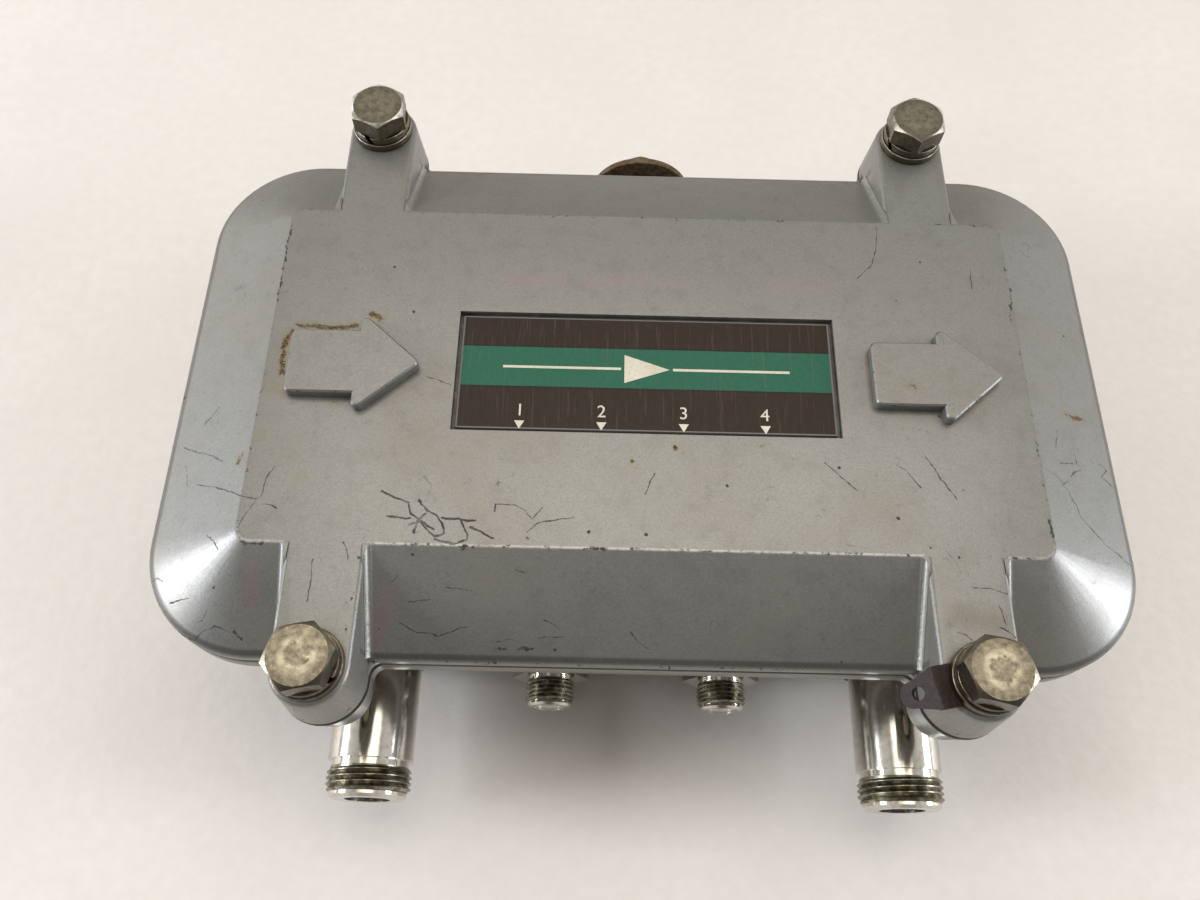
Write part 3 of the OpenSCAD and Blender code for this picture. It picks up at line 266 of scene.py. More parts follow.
def silver_paint():
    """Silver paint with aluminium flake, sprayed on a die casting: a satin metal gloss, scraped and dirty,
    with painted shade in the hollows, at the joint and below the flange, a painted dark reflection on the
    shoulder and a painted highlight along the front edge.
    """
    material, tree, shader, place = start_finish("silver_paint_on_cast_aluminium")
    levels = add(tree, "SeparateXYZ", {0: place}).outputs
    flat = add(tree, "VectorMath", {0: place, 1: (1, 1, 0)}, operation="MULTIPLY").outputs[0]
    # Scratches wander by up to 0.45 mm from their straight runs
    warp = add(tree, "TexNoise", {"Vector": place, "Scale": 0.5, "Detail": 4.0}).outputs[1]
    warp = add(tree, "VectorMath", {0: warp, 1: (0.5, 0.5, 0.5)}, operation="SUBTRACT").outputs[0]
    warp = add(tree, "VectorMath", {0: warp, 1: (0.9, 0.9, 0)}, operation="MULTIPLY").outputs[0]
    wavy = add(tree, "VectorMath", {0: flat, 1: warp}, operation="ADD").outputs[0]
    # The flake is drawn at 0.35 mm, several times its size, so that it shows
    flake = add(tree, "TexNoise", {"Vector": place, "Scale": 3.0, "Detail": 2.0}).outputs[0]
    grain = add(tree, "TexNoise", {"Vector": place, "Scale": 0.9, "Detail": 4.0, "Roughness": 0.7}).outputs[0]
    mottle = add(
        tree, "TexNoise", {"Vector": place, "Scale": 0.25, "Detail": 5.0, "Roughness": 0.65}).outputs[0]
    broad = add(tree, "TexNoise", {"Vector": place, "Scale": 0.05, "Detail": 4.0}).outputs[0]
    speckle = add(tree, "MapRange", {0: flake, 1: 0.3, 2: 0.7}).outputs[0]
    colour = stack(tree, "#82827e", [(speckle, "#91918d")])
    warm = add(tree, "MapRange", {0: broad, 1: 0.45, 2: 0.75, 4: 0.5}).outputs[0]
    above = add(tree, "MapRange", {0: levels[2], 1: COVER_Z, 2: COVER_Z + 1}).outputs[0]
    # Distance beyond the rectangle that joins the corner centres, and a mask that leaves out the ears
    beyond = add(tree, "VectorMath", {0: flat}, operation="ABSOLUTE").outputs[0]
    across = add(tree, "SeparateXYZ", {0: beyond}).outputs[0]
    beyond = add(tree, "VectorMath", {0: beyond, 1: (*CORNER, 0)}, operation="SUBTRACT").outputs[0]
    beyond = add(tree, "VectorMath", {0: beyond, 1: (0, 0, 0)}, operation="MAXIMUM").outputs[0]
    rho = add(tree, "VectorMath", {0: beyond}, operation="LENGTH").outputs["Value"]
    off_ear = add(tree, "Math", {0: across, 1: BOLT[0]}, operation="SUBTRACT").outputs[0]
    off_ear = add(tree, "Math", {0: off_ear}, operation="ABSOLUTE").outputs[0]
    off_ear = add(tree, "Math", {0: off_ear, 1: EAR_R}, operation="GREATER_THAN").outputs[0]
    # Painted shade and dirt in the hollows: darker where ambient occlusion finds corners, in a mottled
    # pattern
    open_sky = add(tree, "AmbientOcclusion", {"Distance": 4.5 * MM}, samples=6).outputs["AO"]
    hollow = add(tree, "MapRange", {0: open_sky, 1: 0.72, 2: 0.3}).outputs[0]
    grime_and_shade = add(tree, "Math", {0: hollow, 1: mottle}, operation="MULTIPLY").outputs[0]
    grime_and_shade = add(tree, "MapRange", {0: grime_and_shade, 1: 0.08, 2: 0.5, 4: 0.8}).outputs[0]
    # Wear along the plateau's edge, and in front a bright line along it, partly rubbed paint and partly a
    # painted highlight; wear also along the arrows' rims and the lip
    edge = band(tree, rho, PLATEAU_R - 0.15, 0.34, 0.14)
    edge = add(tree, "Math", {0: edge, 1: off_ear}, operation="MULTIPLY").outputs[0]
    front = add(tree, "MapRange", {0: levels[1], 1: -30.0, 2: -33.0}).outputs[0]
    rubbed = add(tree, "MapRange", {0: grain, 1: 0.56, 2: 0.47, 3: 0.1, 4: 0.6}).outputs[0]
    rubbed = add(tree, "Math", {0: rubbed, 1: front}, operation="MULTIPLY").outputs[0]
    rubbed = add(tree, "Math", {0: rubbed, 1: edge}, operation="MULTIPLY").outputs[0]
    rim = add(tree, "MapRange", {0: levels[2], 1: ARROW_Z - 0.7, 2: ARROW_Z - 0.3}).outputs[0]
    rim_top = add(tree, "MapRange", {0: levels[2], 1: ARROW_Z - 0.01, 2: ARROW_Z - 0.15}).outputs[0]
    rim = add(tree, "Math", {0: rim, 1: rim_top}, operation="MULTIPLY").outputs[0]
    lip = band(tree, levels[2], LIP_Z, 0.5, 0.25)
    lip_out = add(tree, "MapRange", {0: rho, 1: RIM_R - 0.8, 2: RIM_R - 0.5}).outputs[0]
    lip = add(tree, "Math", {0: lip, 1: lip_out}, operation="MULTIPLY").outputs[0]
    # Painted reflection: a dark band on the shoulder above the lip; a painted shadow in the joint under it;
    # painted shade darkening the base's walls below the flange
    shoulder = band(tree, rho, RIM_R - 0.75, 0.65, 0.25, 0.5)
    shoulder = add(tree, "Math", {0: shoulder, 1: off_ear}, operation="MULTIPLY").outputs[0]
    shoulder = add(tree, "Math", {0: shoulder, 1: above}, operation="MULTIPLY").outputs[0]
    # Painted shadow: a near-black band at the joint between cover and base
    seam_shadow = band(tree, levels[2], COVER_Z + 0.3, 0.65, 0.5)
    seam_shadow = add(tree, "Math", {0: seam_shadow, 1: lip_out}, operation="MULTIPLY").outputs[0]
    # Painted shade: the base's walls darker below the flange
    shade_below_flange = add(
        tree, "MapRange", {0: levels[2], 1: SHADE_FROM, 2: SHADE_FULL_AT, 4: 0.3}).outputs[0]
    # Fine dirt in the paint's grain, and broad dull patches
    flecks = add(tree, "MapRange", {0: grain, 1: 0.58, 2: 0.72, 4: 0.4}).outputs[0]
    patches = add(tree, "MapRange", {0: mottle, 1: 0.5, 2: 0.75, 4: 0.4}).outputs[0]
    worn = add(tree, "Math", {0: edge, 1: rim}, operation="MAXIMUM").outputs[0]
    worn = add(tree, "Math", {0: worn, 1: lip}, operation="MAXIMUM").outputs[0]
    broken = add(tree, "MapRange", {0: grain, 1: 0.58, 2: 0.64}).outputs[0]
    worn = add(tree, "Math", {0: worn, 1: broken}, operation="MULTIPLY").outputs[0]
    near_chip = streak_distance(tree, wavy, runs(CHIPS))
    reach = add(tree, "MapRange", {0: grain, 1: 0.4, 2: 0.66, 3: -0.1, 4: 0.4}).outputs[0]
    near_chip = add(tree, "Math", {0: near_chip, 1: reach}, operation="SUBTRACT").outputs[0]
    chips = add(tree, "MapRange", {0: near_chip, 1: 0.1, 2: -0.05}).outputs[0]
    # Loose specks, some 5 mm apart
    cells = add(tree, "TexVoronoi", {"Vector": wavy, "Scale": 0.21})
    pick = add(tree, "SeparateColor", {0: cells.outputs["Color"]}).outputs[0]
    size = add(tree, "MapRange", {0: pick, 1: 0.55, 2: 1.0, 4: 0.075}).outputs[0]
    speck = add(tree, "Math", {0: cells.outputs["Distance"], 1: size}, operation="LESS_THAN").outputs[0]
    # Scratches up to 0.3 mm wide, 0.5 in the scribble, fainter in places; hairlines are a noise's level lines
    near = streak_distance(tree, wavy, runs(
        FRONT_LEFT_CRACKS + FRONT_SLOPE_SCRATCHES + TOP_SCRATCHES + RIGHT_BEVEL_SCRATCHES + EAR_SCRATCHES))
    scrawl = streak_distance(tree, wavy, runs(SCRIBBLE))
    scrawl = add(tree, "Math", {0: scrawl, 1: 0.1}, operation="SUBTRACT").outputs[0]
    near = add(tree, "Math", {0: near, 1: scrawl}, operation="MINIMUM").outputs[0]
    width = add(tree, "MapRange", {0: grain, 1: 0.35, 2: 0.65, 4: 0.12}).outputs[0]
    near = add(tree, "Math", {0: near, 1: width}, operation="SUBTRACT").outputs[0]
    scratch = add(tree, "MapRange", {0: near, 1: 0.07, 2: -0.03}).outputs[0]
    faint = add(tree, "MapRange", {0: mottle, 1: 0.38, 2: 0.52, 3: 0.5, 4: 1.0}).outputs[0]
    scratch = add(tree, "Math", {0: scratch, 1: faint}, operation="MULTIPLY").outputs[0]
    curls = add(tree, "TexNoise", {"Vector": flat, "Scale": 0.2, "Detail": 1.0, "Distortion": 1.2}).outputs[0]
    curls = band(tree, curls, 0.5, 0.009, 0.003, 0.4)
    where = add(tree, "TexNoise", {"Vector": flat, "Scale": 0.11, "Detail": 2.0}).outputs[0]
    where = add(tree, "MapRange", {0: where, 1: 0.58, 2: 0.68}).outputs[0]
    hairs = add(tree, "Math", {0: curls, 1: where}, operation="MULTIPLY").outputs[0]
    marks = scratch
    for mask in (hairs, speck, worn, chips):
        marks = add(tree, "Math", {0: marks, 1: mask}, operation="MAXIMUM").outputs[0]
    marks = add(tree, "Math", {0: marks, 1: above}, operation="MULTIPLY").outputs[0]
    # Rust round the left arrow and in spots, with a stain about it, and dried water drops
    near_rust = streak_distance(tree, wavy, runs(RUST_RUNS))
    near_spot = streak_distance(tree, wavy, runs(RUST_SPOTS))
    near_spot = add(tree, "Math", {0: near_spot, 1: 0.2}, operation="ADD").outputs[0]
    near_rust = add(tree, "Math", {0: near_rust, 1: near_spot}, operation="MINIMUM").outputs[0]
    creep = add(tree, "MapRange", {0: grain, 1: 0.38, 2: 0.62, 4: 0.7}).outputs[0]
    near_rust = add(tree, "Math", {0: near_rust, 1: creep}, operation="SUBTRACT").outputs[0]
    rust = add(tree, "MapRange", {0: near_rust, 1: 0.25, 2: -0.15}).outputs[0]
    rust = add(tree, "Math", {0: rust, 1: above}, operation="MULTIPLY").outputs[0]
    stain = add(tree, "MapRange", {0: near_rust, 1: 1.3, 2: 0.0, 4: 0.4}).outputs[0]
    near_drop = streak_distance(tree, wavy, runs(WATER_DROPS))
    drop = add(tree, "MapRange", {0: near_drop, 1: 1.4, 2: 1.1, 4: 0.3}).outputs[0]
    stain = add(tree, "Math", {0: stain, 1: drop}, operation="MAXIMUM").outputs[0]
    near_smudge = streak_distance(tree, wavy, runs(SMUDGES))
    smudge = add(tree, "MapRange", {0: near_smudge, 1: 1.9, 2: 0.6, 4: 0.5}).outputs[0]
    smudge = add(tree, "Math", {0: smudge, 1: mottle}, operation="MULTIPLY").outputs[0]
    near_stain = streak_distance(tree, flat, runs(EAR_STAIN))
    ear_stain = add(tree, "MapRange", {0: near_stain, 1: 3.5, 2: 0.5, 4: 0.4}).outputs[0]
    ear_stain = add(tree, "Math", {0: ear_stain, 1: above}, operation="MULTIPLY").outputs[0]
    stain = add(tree, "Math", {0: stain, 1: above}, operation="MULTIPLY").outputs[0]
    scab = add(tree, "MapRange", {0: flake, 1: 0.35, 2: 0.65}).outputs[0]
    patina = stack(tree, "#331f0f", [(scab, "#7d5e35")])
    # Some of these layers are painted light: shade in the hollows, at the joint and below the flange, a dark
    # reflection on the shoulder, and a highlight along the front edge
    colour = stack(tree, colour, [
        (warm, "#8d877b"), (patches, "#75726b"), (flecks, "#66635c"), (smudge, "#a3808a"),
        (ear_stain, "#6f6252"), (stain, "#878060"), (shoulder, "#3c3b38"),
        (shade_below_flange, "#34312d"), (grime_and_shade, "#3b362e"), (rubbed, "#bfbeb8"), (rust, patina), (marks, "#3b3a38"),
        (seam_shadow, "#0d0c0b"),
    ])
    bare = add(tree, "Math", {0: rust, 1: marks}, operation="MAXIMUM").outputs[0]
    for mask in (grime_and_shade, seam_shadow, shade_below_flange):
        bare = add(tree, "Math", {0: bare, 1: mask}, operation="MAXIMUM").outputs[0]
    metal = add(tree, "MapRange", {0: bare, 3: 0.5, 4: 0.05}).outputs[0]
    gloss = add(tree, "MapRange", {0: broad, 1: 0.3, 2: 0.7, 3: 0.33, 4: 0.42}).outputs[0]
    gloss = add(
        tree, "Math", {0: bare, 1: 0.3, 2: gloss}, operation="MULTIPLY_ADD", use_clamp=True).outputs[0]
    relief = add(tree, "Bump", {"Strength": 0.1, "Distance": 0.15 * MM, "Height": flake}).outputs[0]
    wire(tree, shader, Base_Color=colour, Metallic=metal, Roughness=gloss, Normal=relief)
    return material


# The plate's print, in mm: the y of its rear edge and half of what the border encloses; then the middle,
# the green band and the dark rules by their distance from the rear edge
PLATE_BACK = 11.0
BORDER_X, BORDER_Y = 33.4, 11.2
PLATE_MIDDLE = 11.5
GREEN_BAND = (6.3, 14.6)
RULES = ((6.05, 6.35), (14.45, 14.75))


def printed_plate():
    """Printed and lacquered aluminium: brown, green and brown bands with dark rules, finely rubbed."""
    material, tree, shader, place = start_finish(
        "printed_aluminium_plate", Metallic=0.0, Specular_IOR_Level=0.25)
    axes = add(tree, "SeparateXYZ", {0: place}).outputs
    down = add(tree, "Math", {0: PLATE_BACK, 1: axes[1]}, operation="SUBTRACT").outputs[0]
    fine = add(tree, "TexNoise", {"Vector": place, "Scale": 1.6, "Detail": 4.0}).outputs[0]
    rubbed = add(tree, "Mapping", {0: place, "Scale": (1.5, 0.07, 0.07)}).outputs[0]
    rubs = add(tree, "TexNoise", {"Vector": rubbed, "Scale": 1.2, "Detail": 3.0, "Roughness": 0.7}).outputs[0]
    rub = add(tree, "MapRange", {0: rubs, 1: 0.55, 2: 0.72, 4: 0.3}).outputs[0]
    brown = stack(tree, "#22170f", [(fine, "#38291d")])
    green = stack(tree, "#1f5a45", [(fine, "#2c6e56")])
    layers = []
    for (start, end), tint in ((GREEN_BAND, green), (RULES[0], "#1f1a17"), (RULES[1], "#1f1a17")):
        low = add(tree, "MapRange", {0: down, 1: start - 0.05, 2: start + 0.05}).outputs[0]
        high = add(tree, "MapRange", {0: down, 1: end + 0.05, 2: end - 0.05}).outputs[0]
        layers.append((add(tree, "Math", {0: low, 1: high}, operation="MULTIPLY").outputs[0], tint))
    border_x = band(tree, axes[0], 0.0, BORDER_X, BORDER_X + 0.1)
    border_y = band(tree, down, PLATE_MIDDLE, BORDER_Y, BORDER_Y + 0.1)
    border = add(tree, "Math", {0: border_x, 1: border_y}, operation="MAXIMUM").outputs[0]
    layers += [(border, "#7c7977"), (rub, "#75685b")]
    colour = stack(tree, brown, layers)
    rough = add(tree, "MapRange", {0: rubs, 1: 0.3, 2: 0.7, 3: 0.34, 4: 0.55}).outputs[0]
    relief = add(tree, "Bump", {"Strength": 0.1, "Distance": 0.1 * MM, "Height": rubs}).outputs[0]
    wire(tree, shader, Base_Color=colour, Roughness=rough, Normal=relief)
    return material


def tarnished_steel():
    """Bright plated steel gone yellowish: mottled, a pale ring on the front heads, with painted shade on the
    sides and in the corners and a painted glint on the rear rims.
    """
    material, tree, shader, place = start_finish("plated_steel_tarnished", Metallic=1.0)
    mottle = add(
        tree, "TexNoise", {"Vector": place, "Scale": 0.9, "Detail": 6.0, "Roughness": 0.65}).outputs[0]
    fine = add(tree, "TexNoise", {"Vector": place, "Scale": 4.0, "Detail": 3.0}).outputs[0]
    share = add(tree, "MapRange", {0: mottle, 1: 0.35, 2: 0.65}).outputs[0]
    colour = stack(tree, "#6a6355", [(share, "#9d9684")])
    # Radius from the nearest cover bolt's axis
    axis = add(tree, "VectorMath", {0: place}, operation="ABSOLUTE").outputs[0]
    axis = add(tree, "VectorMath", {0: axis, 1: (*BOLT, 0)}, operation="SUBTRACT").outputs[0]
    axis = add(tree, "VectorMath", {0: axis, 1: (1, 1, 0)}, operation="MULTIPLY").outputs[0]
    radius = add(tree, "VectorMath", {0: axis}, operation="LENGTH").outputs["Value"]
    wander = add(tree, "Math", {0: mottle, 1: 2.4, 2: radius}, operation="MULTIPLY_ADD").outputs[0]
    ring = band(tree, wander, 3.7, 0.75, 0.2, 0.6)
    broken = add(tree, "TexNoise", {"Vector": place, "Scale": 0.35, "Detail": 2.0}).outputs[0]
    broken = add(tree, "MapRange", {0: broken, 1: 0.4, 2: 0.6, 3: 0.15, 4: 1.0}).outputs[0]
    ring = add(tree, "Math", {0: ring, 1: broken}, operation="MULTIPLY").outputs[0]
    # The rear bolts are cleaner: no ring; their chamfered rims, picked by facing, get a painted glint
    depth = add(tree, "SeparateXYZ", {0: place}).outputs[1]
    clean = add(tree, "MapRange", {0: depth, 1: 20.0, 2: 40.0}).outputs[0]
    ringed = add(tree, "MapRange", {0: clean, 3: 1.0, 4: 0.15}).outputs[0]
    ring = add(tree, "Math", {0: ring, 1: ringed}, operation="MULTIPLY").outputs[0]
    dull = add(tree, "MapRange", {0: wander, 1: 4.4, 2: 5.6, 4: 0.35}).outputs[0]
    # Painted shade: the sides of heads and washers darker than their tops, more so on the front bolts
    facing = add(tree, "SeparateXYZ", {0: add(tree, "NewGeometry").outputs["Normal"]}).outputs[2]
    facing = add(tree, "Math", {0: facing}, operation="ABSOLUTE").outputs[0]
    flank = add(tree, "MapRange", {0: facing, 1: 0.6, 2: 0.2, 4: 0.75}).outputs[0]
    ahead_of = add(tree, "MapRange", {0: depth, 1: 40.0, 2: -40.0, 3: 0.25, 4: 1.0}).outputs[0]
    flank = add(tree, "Math", {0: flank, 1: ahead_of}, operation="MULTIPLY").outputs[0]
    # Painted glint: a pale colour on faces that lean like the chamfers, broken in places
    bright = add(tree, "MapRange", {0: facing, 1: 0.75, 2: 0.8}).outputs[0]
    off_top = add(tree, "MapRange", {0: facing, 1: 0.98, 2: 0.94}).outputs[0]
    for mask in (off_top, clean, broken):
        bright = add(tree, "Math", {0: bright, 1: mask}, operation="MULTIPLY").outputs[0]
    # Painted shade in the corners, where ambient occlusion finds them
    open_sky = add(tree, "AmbientOcclusion", {"Distance": 2 * MM}, samples=6).outputs["AO"]
    hollow = add(tree, "MapRange", {0: open_sky, 1: 0.75, 2: 0.3, 4: 0.8}).outputs[0]
    colour = stack(tree, colour, [
        (dull, "#5f5747"), (ring, "#d0c8ae"), (flank, "#574f44"), (hollow, "#2a221a"), (bright, "#eeebe3")])
    rough = add(tree, "MapRange", {0: mottle, 1: 0.3, 2: 0.7, 3: 0.42, 4: 0.24}).outputs[0]
    relief = add(tree, "Bump", {"Strength": 0.15, "Distance": 0.1 * MM, "Height": fine}).outputs[0]
    wire(tree, shader, Base_Color=colour, Roughness=rough, Normal=relief)
    return material


def rusted_steel():
    """Steel rusted all over, with worn grey patches where the bracket rubbed."""
    material, tree, shader, place = start_finish("rusted_steel", Metallic=0.2)
    scab = add(tree, "TexNoise", {"Vector": place, "Scale": 1.1, "Detail": 8.0, "Roughness": 0.7}).outputs[0]
    worn = add(tree, "TexNoise", {"Vector": place, "Scale": 0.22, "Detail": 3.0}).outputs[0]
    share = add(tree, "MapRange", {0: scab, 1: 0.35, 2: 0.65}).outputs[0]
    rubbed = add(tree, "MapRange", {0: worn, 1: 0.52, 2: 0.68, 4: 0.7}).outputs[0]
    colour = stack(tree, "#4d3d2b", [(share, "#8a7353"), (rubbed, "#8f8877")])
    relief = add(tree, "Bump", {"Strength": 0.5, "Distance": 0.25 * MM, "Height": scab}).outputs[0]
    rough = add(tree, "MapRange", {0: scab, 1: 0.3, 2: 0.7, 3: 0.8, 4: 0.5}).outputs[0]
    wire(tree, shader, Base_Color=colour, Roughness=rough, Normal=relief)
    return material


def nickel_plate():
    """Bright nickel on turned brass: scratched along its length, olive tarnish in the thread."""
    material, tree, shader, place = start_finish("nickel_plated_brass", Metallic=1.0)
    axes = add(tree, "SeparateXYZ", {0: place}).outputs
    mottle = add(
        tree, "TexNoise", {"Vector": place, "Scale": 0.7, "Detail": 5.0, "Roughness": 0.6}).outputs[0]
    drawn = add(tree, "Mapping", {0: place, "Scale": (2.2, 0.12, 2.2)}).outputs[0]
    scrape = add(
        tree, "TexNoise", {"Vector": drawn, "Scale": 1.0, "Detail": 4.0, "Roughness": 0.7}).outputs[0]
    scrapes = add(tree, "MapRange", {0: scrape, 1: 0.6, 2: 0.75}).outputs[0]
    # The thread lies further out on the large jacks than on the small ones
    starts = [PORT_Y - cut[0] + 0.1 for cut in (SMALL_THREAD, LARGE_THREAD)]
    ends = [PORT_Y - cut[0] - cut[1] for cut in (SMALL_THREAD, LARGE_THREAD)]
    across = add(tree, "Math", {0: axes[0]}, operation="ABSOLUTE").outputs[0]
    is_large = add(tree, "Math", {0: across, 1: (SMALL_X + LARGE_X) / 2}, operation="GREATER_THAN").outputs[0]
    start = add(tree, "Mix", {0: is_large, 2: starts[0], 3: starts[1]}, data_type="FLOAT").outputs[0]
    end = add(tree, "Mix", {0: is_large, 2: ends[0], 3: ends[1]}, data_type="FLOAT").outputs[0]
    past = add(tree, "Math", {0: axes[1], 1: start}, operation="LESS_THAN").outputs[0]
    before = add(tree, "Math", {0: axes[1], 1: end}, operation="GREATER_THAN").outputs[0]
    thread = add(tree, "Math", {0: past, 1: before}, operation="MULTIPLY").outputs[0]
    tarnish = add(tree, "MapRange", {0: mottle, 1: 0.3, 2: 0.6, 3: 0.45, 4: 0.95}).outputs[0]
    tarnish = add(tree, "Math", {0: tarnish, 1: thread}, operation="MULTIPLY").outputs[0]
    film = add(tree, "MapRange", {0: mottle, 1: 0.45, 2: 0.75, 4: 0.5}).outputs[0]
    colour = stack(tree, "#d9d5cb", [(film, "#a9a08b"), (tarnish, "#5f5b42")])
    rough = add(tree, "MapRange", {0: scrapes, 3: 0.14, 4: 0.4}).outputs[0]
    rough = add(tree, "Math", {0: tarnish, 1: 0.2, 2: rough}, operation="MULTIPLY_ADD").outputs[0]
    relief = add(tree, "Bump", {"Strength": 0.12, "Distance": 0.08 * MM, "Height": scrape}).outputs[0]
    wire(tree, shader, Base_Color=colour, Roughness=rough, Normal=relief)
    return material


def glass_laminate():
    """Green solder mask over copper on glass laminate: darker gaps between the lands, a fine weave."""
    material, tree, shader, place = start_finish("glass_laminate_board", Metallic=0.0, Coat_Weight=0.3)
    weave = add(tree, "TexWave", {"Vector": place, "Scale": 0.9, "Distortion": 0.6}).outputs[1]
    lands = add(tree, "TexBrick", {
        "Vector": place, "Scale": 0.12, "Mortar Size": 0.035, "Color1": (0, 0, 0, 1),
        "Color2": (0.1, 0.1, 0.1, 1), "Mortar": (1, 1, 1, 1)}).outputs[0]
    gaps = add(tree, "MapRange", {0: lands, 1: 0.3, 2: 0.7}).outputs[0]
    colour = stack(tree, "#1d4a35", [(weave, "#22553d"), (gaps, "#123726")])
    relief = add(tree, "Bump", {"Strength": 0.2, "Distance": 0.05 * MM, "Height": gaps}).outputs[0]
    rough = add(tree, "MapRange", {0: weave, 3: 0.3, 4: 0.42}).outputs[0]
    wire(tree, shader, Base_Color=colour, Roughness=rough, Normal=relief)
    return material


FINISH = {
    "cast_paint": silver_paint(),
    "bare_casting": grained(
        "bare_cast_aluminium", "#b9b9b4", "#8f8f8a", 0.8, (0.42, 0.6), 0.3, Metallic=0.85),
    "seal_rubber": grained("black_rubber", "#262525", "#171616", 0.6, (0.55, 0.75), 0.3),
    "printed_plate": printed_plate(),
    "plate_ink": grained("cream_print", "#e9e3cf", "#cfc8b2", 0.5, (0.35, 0.5), 0.1),
    "plated_steel": tarnished_steel(),
    "rusted_steel": rusted_steel(),
    "tinned_lug": grained(
        "tinned_copper_browned", "#35231e", "#1e1816", 0.9, (0.45, 0.6), 0.2, Specular_IOR_Level=0.3),
    "nickel_brass": nickel_plate(),
    "gilt_brass": grained("gilt_brass", "#e2c27a", "#b8923f", 0.5, (0.18, 0.3), 0.1, Metallic=1.0),
    "ptfe": grained("white_ptfe", "#ece9e0", "#d5d0c3", 0.7, (0.35, 0.5), 0.15),
    "glass_laminate": glass_laminate(),
    "tinplate": grained("tinplate", "#c9c9c4", "#a3a39c", 1.4, (0.22, 0.36), 0.12, Metallic=1.0),
    "silvered_wire": grained(
        "silvered_copper_wire", "#d8d4c8", "#a89f8a", 0.6, (0.16, 0.3), 0.1, Metallic=1.0),
    "trimmer_plastic": grained("trimmer_plastic", "#d8d2bf", "#c2baa2", 0.6, (0.4, 0.55), 0.15),
    "rotor_brass": grained("brass_rotor", "#c7a85b", "#957a38", 0.5, (0.22, 0.36), 0.15, Metallic=1.0),
    "transistor_case": grained("black_ceramic_case", "#2b2b2d", "#1b1b1c", 0.3, (0.35, 0.5), 0.2),
    "relay_case": grained("relay_plastic", "#d9d3c4", "#c6bfad", 0.8, (0.35, 0.5), 0.15),
    "coax_jacket": grained("tan_ptfe_jacket", "#c7a77c", "#a98a60", 0.6, (0.3, 0.42), 0.12),
    "yellow_wire": grained("yellow_pvc", "#cdb53d", "#b39a2c", 0.5, (0.35, 0.5), 0.12),
    "red_wire": grained("red_pvc", "#a8332b", "#8a261f", 0.5, (0.35, 0.5), 0.12),
    "black_epoxy": grained("black_epoxy", "#2a2a2c", "#19191a", 0.4, (0.45, 0.6), 0.25),
    "capacitor_sleeve": grained("capacitor_sleeve", "#263659", "#1a2744", 0.7, (0.25, 0.4), 0.1),
    "resistor_lacquer": grained("resistor_lacquer", "#c3a87c", "#a88c61", 0.4, (0.3, 0.45), 0.15),
}


def node_copy(*nodes):
    """The CAD nodes' meshes with their loose triangles merged and flat faces joined."""
    form = bmesh.new()
    for node in nodes:
        form.from_mesh(frame["nodes"][node].data)
    bmesh.ops.remove_doubles(form, verts=form.verts, dist=1e-6)
    bmesh.ops.dissolve_limit(form, angle_limit=math.radians(0.6), verts=form.verts, edges=form.edges)
    return form


def piece(name, form, body, finish, replaces=(), smooth=32, ease=0.0):
    """A finished piece of the object: smooth between faces that meet at less than smooth degrees."""
    form.normal_update()
    for edge in form.edges:
        edge.smooth = edge.calc_face_angle(math.pi) < math.radians(smooth)
    for face in form.faces:
        face.smooth = True
    mesh = bpy.data.meshes.new(name)
    form.to_mesh(mesh)
    form.free()
    # The CAD mesh's own corner normals no longer fit the joined faces
    if "custom_normal" in mesh.attributes:
        mesh.attributes.remove(mesh.attributes["custom_normal"])
    mesh.materials.append(FINISH[finish])
    obj = bpy.data.objects.new(name, mesh)
    bpy.context.scene.collection.objects.link(obj)
    if ease:
        bevel = obj.modifiers.new("eased_edges", "BEVEL")
        bevel.width, bevel.segments, bevel.limit_method = ease * MM, 2, "ANGLE"
        bevel.angle_limit, bevel.harden_normals = math.radians(35), True
    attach(obj, body)
    if replaces:
        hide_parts(*replaces)
    return obj


def thread_skin(start, length, root, crest, pitch, place):
    """The skin of a cut thread along +Z, open at both flat ends, moved by place. Lengths in mm."""
    form = bmesh.new()
    turns = int(length / pitch) + 4
    flank = pitch * 0.44
    profile = []
    for i in range(turns):
        low = start + (i - 2) * pitch
        profile += [(root, low), (crest, low + flank)]
        profile += [(crest, low + pitch - flank), (root, low + pitch - 0.01)]
    verts = [form.verts.new((r * MM, 0, z * MM)) for r, z in profile]
    edges = [form.edges.new(pair) for pair in zip(verts, verts[1:])]
    steps = 48
    bmesh.ops.spin(form, geom=verts + edges, cent=(0, 0, 0), axis=(0, 0, 1), angle=math.tau,
                   dvec=(0, 0, pitch * MM / steps), steps=steps)
    bmesh.ops.remove_doubles(form, verts=form.verts, dist=0.02 * MM)
    for z, side_out in ((start, -1), (start + length, 1)):
        bmesh.ops.bisect_plane(form, geom=form.verts[:] + form.edges[:] + form.faces[:], dist=1e-7,
                               plane_co=(0, 0, z * MM), plane_no=(0, 0, side_out), clear_outer=True)
    # The first and last half turns are chamfered
    for vert in form.verts:
        r = math.hypot(vert.co.x, vert.co.y)
        inside = min(vert.co.z / MM - start, start + length - vert.co.z / MM)
        limit = (root + 0.02 + max(inside, 0) * 0.9) * MM
        if r > limit:
            vert.co.x *= limit / r
            vert.co.y *= limit / r
    bmesh.ops.transform(form, matrix=place, verts=form.verts)
    return form


def join(form, other):
    """Adds another form's mesh to a form."""
    mesh = bpy.data.meshes.new("joined")
    other.to_mesh(mesh)
    other.free()
    form.from_mesh(mesh)
    bpy.data.meshes.remove(mesh)


